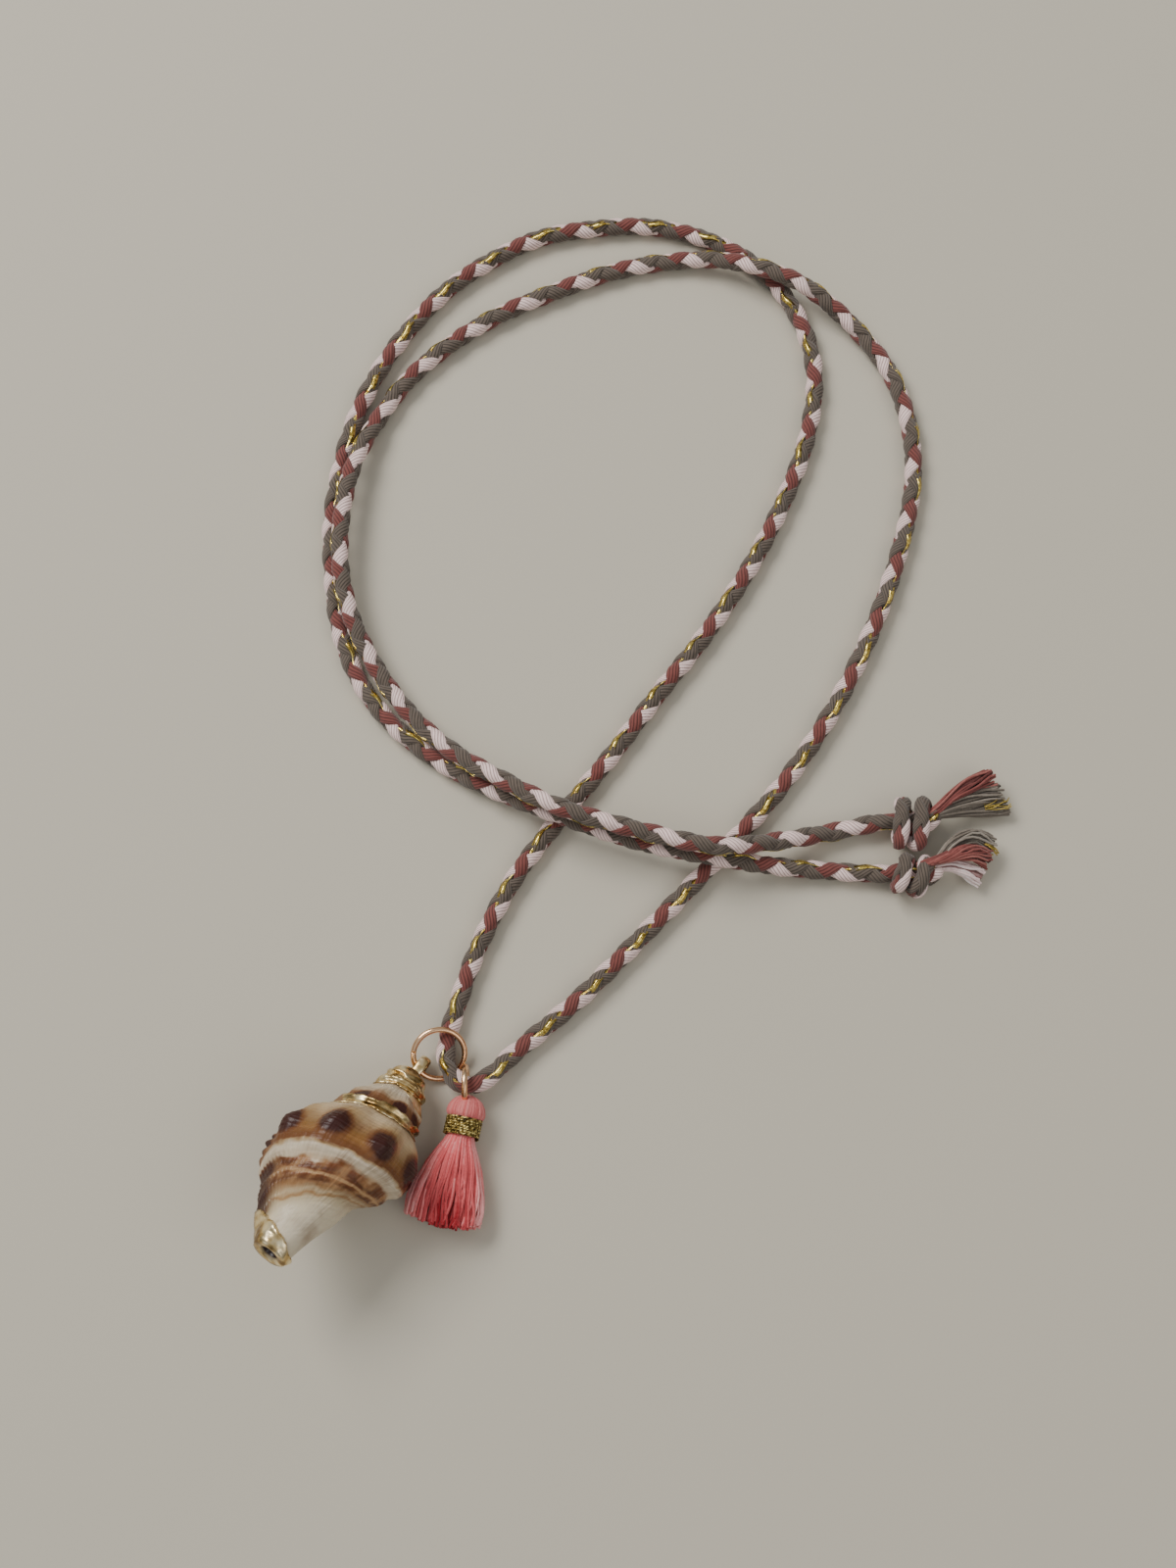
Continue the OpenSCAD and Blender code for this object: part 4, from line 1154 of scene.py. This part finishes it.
def spot_places():
    """One spot on each knob of the last whorl, and smaller ones that follow up the spire."""
    body = [(turn, SUTURE_AT * GROWTH ** (0.63 - turn / 360), 2.9)
            for turn in (KNOB_AT + KNOB_STEP * i for i in range(-3, 4))]
    spire = [(turn, SUTURE_AT * GROWTH ** (-0.17 - turn / 360), 1.7 * GROWTH ** (-turn / 360))
             for turn in (-80, -35, 24, 62, 105, 150, 195, 240, 290, 335)]
    return body + spire


FLAMES = [(36, 11.5, 1.25), (76, 10.95, 1.3), (54, 7.5, 1.1)]
print("spots:", len(spot_places()), "and orange flecks:", len(FLAMES))

# %% [markdown]
# The bands, from the suture down: a dark line of painted shade in the suture's groove, cream,
# amber under a row of maroon spots, white, two broken brown bands and then ivory down to the
# canal. An image wrapped round the shell would stretch at both ends; a colour ramp over the growth
# rule doesn't, and it repeats up the spire as it does on the real one. Noise that is long with the
# whorl makes the edges of the bands ragged.

# %% Colours of the bands, and the gold
# Each stop: lane (see lane_of) and screen tone. The first list is for the last whorl.
# The dark stops at lane 0, and up the spire at lane 1 too, are painted shade in the groove of the suture.
BANDS = [
    (0.0, (58, 36, 24)), (0.03, (104, 76, 52)), (0.09, (166, 144, 112)), (0.2, (196, 176, 144)),
    (0.36, (176, 146, 102)), (0.5, (142, 104, 58)), (0.62, (132, 94, 46)), (0.72, (144, 100, 52)),
    (0.79, (112, 66, 28)), (0.83, (106, 60, 26)), (0.85, (180, 152, 112)), (0.875, (218, 204, 180)),
    (0.945, (212, 194, 166)), (0.965, (116, 60, 22)), (1.0, (78, 36, 14)), (1.035, (108, 56, 22)),
    (1.055, (186, 148, 106)), (1.075, (186, 146, 102)), (1.09, (114, 62, 26)), (1.125, (82, 40, 16)),
    (1.15, (146, 108, 70)), (1.185, (196, 174, 138)), (1.205, (164, 124, 80)), (1.225, (198, 180, 146)),
    (1.3, (212, 198, 170)), (1.5, (214, 202, 178)),
]
SPIRE_BANDS = [
    (0.0, (52, 34, 24)), (0.05, (104, 78, 56)), (0.14, (196, 178, 150)), (0.4, (212, 198, 174)),
    (0.62, (204, 182, 150)), (0.74, (128, 86, 52)), (0.88, (96, 58, 34)), (0.95, (140, 108, 78)),
    (1.0, (44, 28, 20)),
]


def gold_noise(b, place):
    """Crumpled gold: its noise, for the relief, and its colour, whose dark and bright patches are painted
    reflections.
    """
    crumple = b.noise(place, 430.0)
    return crumple, b.ramp(crumple, (0.34, (134, 106, 62)), (0.48, (208, 180, 126)),
                           (0.62, (252, 236, 194)))


print("colour stops on the last whorl:", len(BANDS), "and up the spire:", len(SPIRE_BANDS))


# %% Shell material
def ragged_bands(b, lane, streaks, cloud):
    """The bands of the last whorl, and those of the spire wherever the lane is negative."""
    fold = b.minus(lane, b.sums("FLOOR", b.sums("MINIMUM", lane, 0.0)))
    wobble = b.scaled(cloud, 0.12, b.scaled(streaks, 0.035, -0.0775))
    at, widest = b.plus(fold, wobble), BANDS[-1][0]
    bands = b.ramp(b.sums("DIVIDE", at, widest), *[(p / widest, c) for p, c in BANDS])
    spire = b.ramp(at, *SPIRE_BANDS)
    return b.blend(b.sums("LESS_THAN", lane, 0.0), bands, spire)


def broken_bands(b, colour, lane, turn, growth):
    """Cream places between the knobs, and gaps that break the brown bands into blotches."""
    knobs = 360 / KNOB_STEP
    between = b.scaled(b.cos(b.scaled(turn, knobs, -knobs * math.radians(KNOB_AT))), -0.5, 0.5)
    above, below = b.span(lane, 0.66, 0.3), b.span(lane, 0.04, 0.12)
    open_place = b.times(between, above, below, b.scaled(growth, 1.0, 0.2))
    colour = b.blend(open_place, colour, (206, 184, 150))
    blotch = b.noise(b.flat(b.times(lane, 9.0), b.times(turn, 3.6)), 1.0)
    first, last = b.span(lane, 0.93, 0.96), b.span(lane, 1.2, 1.12)
    gaps = b.times(first, last, b.span(blotch, 0.46, 0.64, 0.0, 0.55))
    return b.blend(gaps, colour, (184, 142, 96))


def marks(b, colour, growth, cloud):
    """Maroon spots with a brown rim, the dark lip, orange flecks and the pale inside."""
    ragged = b.scaled(cloud, 0.5, b.scaled(growth, 0.2, -0.35))
    spot = b.plus(b.fact("spot"), ragged)
    halo = b.span(spot, -0.05, 0.25, interpolation_type="SMOOTHSTEP")
    colour = b.blend(b.times(halo, 0.85), colour, (104, 60, 30))
    core = b.span(spot, 0.18, 0.42, interpolation_type="SMOOTHSTEP")
    colour = b.blend(core, colour, (58, 24, 18))
    colour = b.blend(b.times(b.fact("lip"), 0.9), colour, (54, 28, 26))
    flame = b.sums("GREATER_THAN", b.plus(b.fact("flame"), b.scaled(cloud, 0.6, -0.3)), 0.22)
    colour = b.blend(b.times(flame, 0.9), colour, (206, 82, 34))
    return b.blend(b.fact("inside"), colour, (214, 190, 168))


def shell_material():
    made, b, skin = new_material("banded_shell")
    place = b.place()
    lane, turn = b.fact("lane"), b.fact("turn")
    streaks = b.noise(b.flat(b.times(lane, 34.0), b.times(turn, 2.2)), 1.0, 3.0)
    growth = b.noise(b.flat(b.times(lane, 3.0), b.times(turn, 30.0)), 1.0, 3.0)
    cloud = b.noise(place, 300.0)
    # Thin brown lines with the whorl and across it veil the bands, and hardly the ivory.
    veil = b.scaled(streaks, 0.9, b.scaled(growth, 0.5, -0.42))
    calm = b.span(lane, 1.12, 1.28, 0.65, 0.05)
    colour = b.blend(b.times(veil, calm), ragged_bands(b, lane, streaks, cloud), (112, 80, 48))
    colour = marks(b, broken_bands(b, colour, lane, turn, growth), growth, cloud)
    # The tip of the spire is gilded, with a torn edge, in gold whose patches are painted reflections.
    crumple, gold = gold_noise(b, place)
    gilt = b.span(b.plus(b.fact("gilt"), b.scaled(cloud, 0.9, -0.45)), 0.42, 0.5)
    height = b.scaled(streaks, 0.6, b.times(growth, calm))
    height = b.scaled(crumple, b.times(gilt, 1.5), height)
    finish(b, skin, b.blend(gilt, colour, gold), height, 0.00012, Metallic=b.times(gilt, 0.95),
           Roughness=b.scaled(growth, 0.3, 0.25), Specular_IOR_Level=0.3, Coat_Weight=0.08,
           Coat_Roughness=0.12, Subsurface_Weight=0.05, Subsurface_Radius=(0.002, 0.0012, 0.0008))
    return made


# %% Lay the skin of the shell, with what its colours read at each point
lane_all = lane_of(s_all, turn_all)
shell = surface(
    "shell_wall", points, shell_material(), lane=lane_all - drift(lane_all, turn_all),
    turn=np.radians(turn_all), inside=inside,
    spot=spots(s_all, turn_all, spot_places()), flame=spots(s_all, turn_all, FLAMES),
    lip=ease(-38, -74, turn_all) * ease(0.9, 0.96, lane_all) * (1 - ease(1.2, 1.3, lane_all)),
    gilt=1 - ease(6.6, 8.0, s_all - 1.2 * np.sin(np.radians(turn_all - 40))))
settle(shell, "shell", "shell")

# %% [markdown]
# ## Gold leaf on the shell
# Gold was laid thickly along the last sutures, over the tip of the spire and round the end of the
# canal. A wrinkled layer like that has lumps, pits and a bright worn edge, and it reflects its
# surroundings in broken patches, so its surface is moved about, and its colour holds painted
# reflections in dark and bright patches.

# %% Gold leaf material
def gold_leaf():
    made, b, skin = new_material("gold_leaf")
    place = b.place()
    crumple, gold = gold_noise(b, place)
    wear = b.scaled(b.noise(place, 520.0, 3.0), 1.2, -0.6)
    worn = b.span(b.plus(b.fact("worn"), wear), 0.45, 0.6)
    hole = b.fact("hole")
    colour = b.blend(worn, gold, (132, 98, 66))
    # Orange flecks and worn or open places aren't metal.
    flame = b.sums("GREATER_THAN", b.scaled(crumple, 0.5, b.fact("flame")), 0.5)
    colour = b.blend(flame, colour, (190, 70, 30))
    bare = b.sums("MAXIMUM", b.sums("MAXIMUM", worn, hole), flame)
    cells = b.add("ShaderNodeTexVoronoi", {"Vector": place, "Scale": 800.0}, feature="SMOOTH_F1")
    lumps = b.scaled(cells.outputs[0], 0.35, crumple)
    # Inside the hole the colour is painted shade, a dark maroon.
    finish(b, skin, b.blend(hole, colour, (44, 22, 24)), lumps, 0.0003,
           Metallic=b.scaled(bare, -1.0, 1.0), Roughness=b.scaled(crumple, 0.35, 0.1))
    return made


GOLD_LEAF = gold_leaf()
print("gold leaf:", len(GOLD_LEAF.node_tree.nodes), "shader nodes")


# %% Gold along the suture
def suture_rows(count=460, across=15):
    """A ribbon of gold that winds up the spire: rings of points, how worn and how orange it is."""
    turn = np.linspace(LIP_TURN + SEAM, 440, count)[:, None]
    a = np.radians(turn)
    s0 = SUTURE_AT / GROWTH ** (turn / 360)
    half = 0.082 * s0 * (1 + 0.15 * np.sin(5 * a) + 0.1 * np.sin(11 * a) + 0.06 * np.sin(23 * a))
    half = half * (1 + 0.5 * ease(180, 300, turn))
    u = np.linspace(1, -1, across)[None]
    crown = (1 - u ** 2) ** 0.22
    rough = 0.1 * waves(a * 14, u * 2, 8) + 0.03 * waves(a * 40, u * 4, 9)
    top = 0.12 + crown * (0.38 + rough)
    below = np.broadcast_to(np.array([[-0.5, 0.5]]), (count, 2))
    u = np.concatenate([np.broadcast_to(u, (count, across)), below], axis=1)
    top = np.concatenate([top, np.full((count, 2), -0.12)], axis=1)
    s = s0 + u * half
    turn = np.broadcast_to(turn, s.shape)
    thin_stretch = ease(24, 44, turn) * (1 - ease(150, 190, turn))
    worn = 1 - ease(-60, -50, turn) + 0.2 * ease(0.6, 1, np.abs(u)) + 0.4 * thin_stretch
    return shell_point(s, turn, shell_radius(s, turn) + top), worn, spots(s, turn, FLAMES)


rows, worn, flame = suture_rows()
settle(surface("suture_gold", rows, GOLD_LEAF, worn=worn, flame=flame), "gold", "suture_gilding")

# %% Gold round the end of the canal
# Turn and distance along the axis where the gold starts; and where it turns into the hole.
CANAL_EDGE = np.array([(-100, 31.6), (-60, 32.8), (0, 34), (60, 35.2), (130, 35.4), (265, 32.6)])
CANAL_RIM = 36.5


def canal_rows(steps=30, around=150):
    turn = np.linspace(LIP_TURN, LIP_TURN + 360 - SEAM, around)[None]
    a = np.radians(turn)
    start = look_up(CANAL_EDGE, turn) + 0.35 * waves(a * 9, 0, 12) + 0.15 * waves(a * 31, 0, 13)
    u = np.linspace(0, 1, steps)[:, None]
    s = start + (CANAL_RIM - start) * u
    lumps = 0.16 * waves(s * 2.6, a * 5, 14) + 0.1 * waves(s * 6, a * 11, 15)
    lift = 0.5 + lumps - 0.35 * (1 - ease(0, 0.15, u)) - 0.25 * ease(0.85, 1, u)
    outside = shell_point(s, turn, shell_radius(np.minimum(s, END), turn) + lift)
    end = shell_radius(np.full_like(turn, END), turn) + 0.2
    inward = [shell_point(np.full_like(turn, depth), turn, end * share)[0]
              for depth, share in ((36.52, 0.82), (36.4, 0.62), (36.0, 0.5), (35.0, 0.42), (34.0, 0.3))]
    rows = np.concatenate([outside, np.array(inward)])
    hole = np.concatenate([np.zeros(steps), [0, 0.15, 1, 1, 1]])[:, None]
    return rows, np.broadcast_to(hole, rows.shape[:2])


rows, hole = canal_rows()
settle(surface("canal_gold", rows, GOLD_LEAF, hole=hole), "gold", "canal_gilding")

# %% Gold cap and its bail
# Distance along the axis of the shell and radius of the cap there.
CAP = np.array([(1.85, 0.05), (1.9, 0.7), (2.1, 1.5), (2.5, 2.15), (3, 2.6), (3.5, 2.9),
                (4, 3.15), (4.6, 3.45), (4.75, 3.2)])
BAIL_AT = np.array([-33.65, -55.6, 1.88])
BAIL_FRAME = spin("Z", HEADING) @ spin("Y", -12)


def cap_rows(steps=34, around=80):
    turn = np.linspace(0, 360, around, endpoint=False)[None]
    a = np.radians(turn)
    run = runs(CAP)
    even = np.linspace(0, run[-1], steps)
    s, r = (np.interp(even, run, CAP[:, k])[:, None] for k in (0, 1))
    rough = 0.05 * np.sin(np.radians(3 * turn + 200 * s)) + 0.07 * waves(s * 4, a * 4, 21)
    ragged = 0.35 * waves(a * 7, 0, 22) * ease(3.6, 4.6, s)
    return shell_point(s + ragged, turn, r * (1 + rough))


def bail_rows(steps=60, around=20):
    """A flat band bent into an eye: a is the angle round the eye, w the angle round the band."""
    a, w = np.meshgrid(round_angles(steps), round_angles(around), indexing="ij")
    cos, sin = np.cos(a), np.sin(a)
    middle = np.stack([1.1 * cos + 0.6 * np.clip(2 * cos, -1, 1), 0 * a, 1.1 * sin], axis=-1)
    thick = 0.3 * (1 + 0.12 * waves(a * 5, w * 2, 24)) * np.cos(w)
    half = 0.78 + 0.08 * waves(a * 6, 0, 25)
    band = np.stack([thick * cos, -half * np.sin(w), thick * sin], axis=-1)
    return BAIL_AT + (middle + band) @ BAIL_FRAME.T


settle(surface("apex_gold", cap_rows(), GOLD_LEAF), "gold", "apex_cap")
settle(surface("bail", bail_rows(), GOLD_LEAF, closed=True), "gold", "apex_cap")


# %% [markdown]
# ## Jump rings
# Both rings are round copper-coloured wire, closed by hand, so a fine cut stays between the two
# ends. A torus without the cut would look cast. The wire is polished but has hair scratches.

# %% Copper wire
def copper_wire():
    made, b, skin = new_material("copper_wire")
    scratches = b.noise(b.place(), 3500.0)
    tone = b.ramp(b.noise(b.place(), 260.0), (0.3, (226, 166, 120)), (0.7, (252, 212, 170)))
    finish(b, skin, tone, scratches, 0.00001, Metallic=1.0, Roughness=b.scaled(scratches, 0.2, 0.08))
    return made


WIRE, HALF_CUT = 0.425, 0.07


def ring_rows(middle, turned_by, radius, cut_at, steps=120, around=18):
    """Rings of points along the wire, from one side of the cut to the other, with filed ends."""
    gap = math.degrees(HALF_CUT / radius)
    a = np.radians(np.linspace(cut_at + gap, cut_at + 360 - gap, steps))
    a = np.concatenate([a[:1], a, a[-1:]])[:, None]
    size = np.concatenate([[0.8], np.ones(steps), [0.8]])[:, None] * WIRE
    w = round_angles(around)[None]
    out = radius + size * np.cos(w)
    own = np.stack([out * np.cos(a), out * np.sin(a), size * np.sin(w) + 0 * a], axis=-1)
    return middle + own @ turned_by.T


COPPER = copper_wire()
big = ring_rows(np.array([-30.8, -53.6, 2.4]), spin("Y", 12) @ spin("X", 27), 3.775, 176)
small = ring_rows(np.array([-26.8, -58.2, 3.15]), spin("Y", 90), 2.675, 20)
settle(surface("shell_jump_ring", big, COPPER), "copper_wire", "shell_ring")
settle(surface("tassel_jump_ring", small, COPPER), "copper_wire", "tassel_ring")
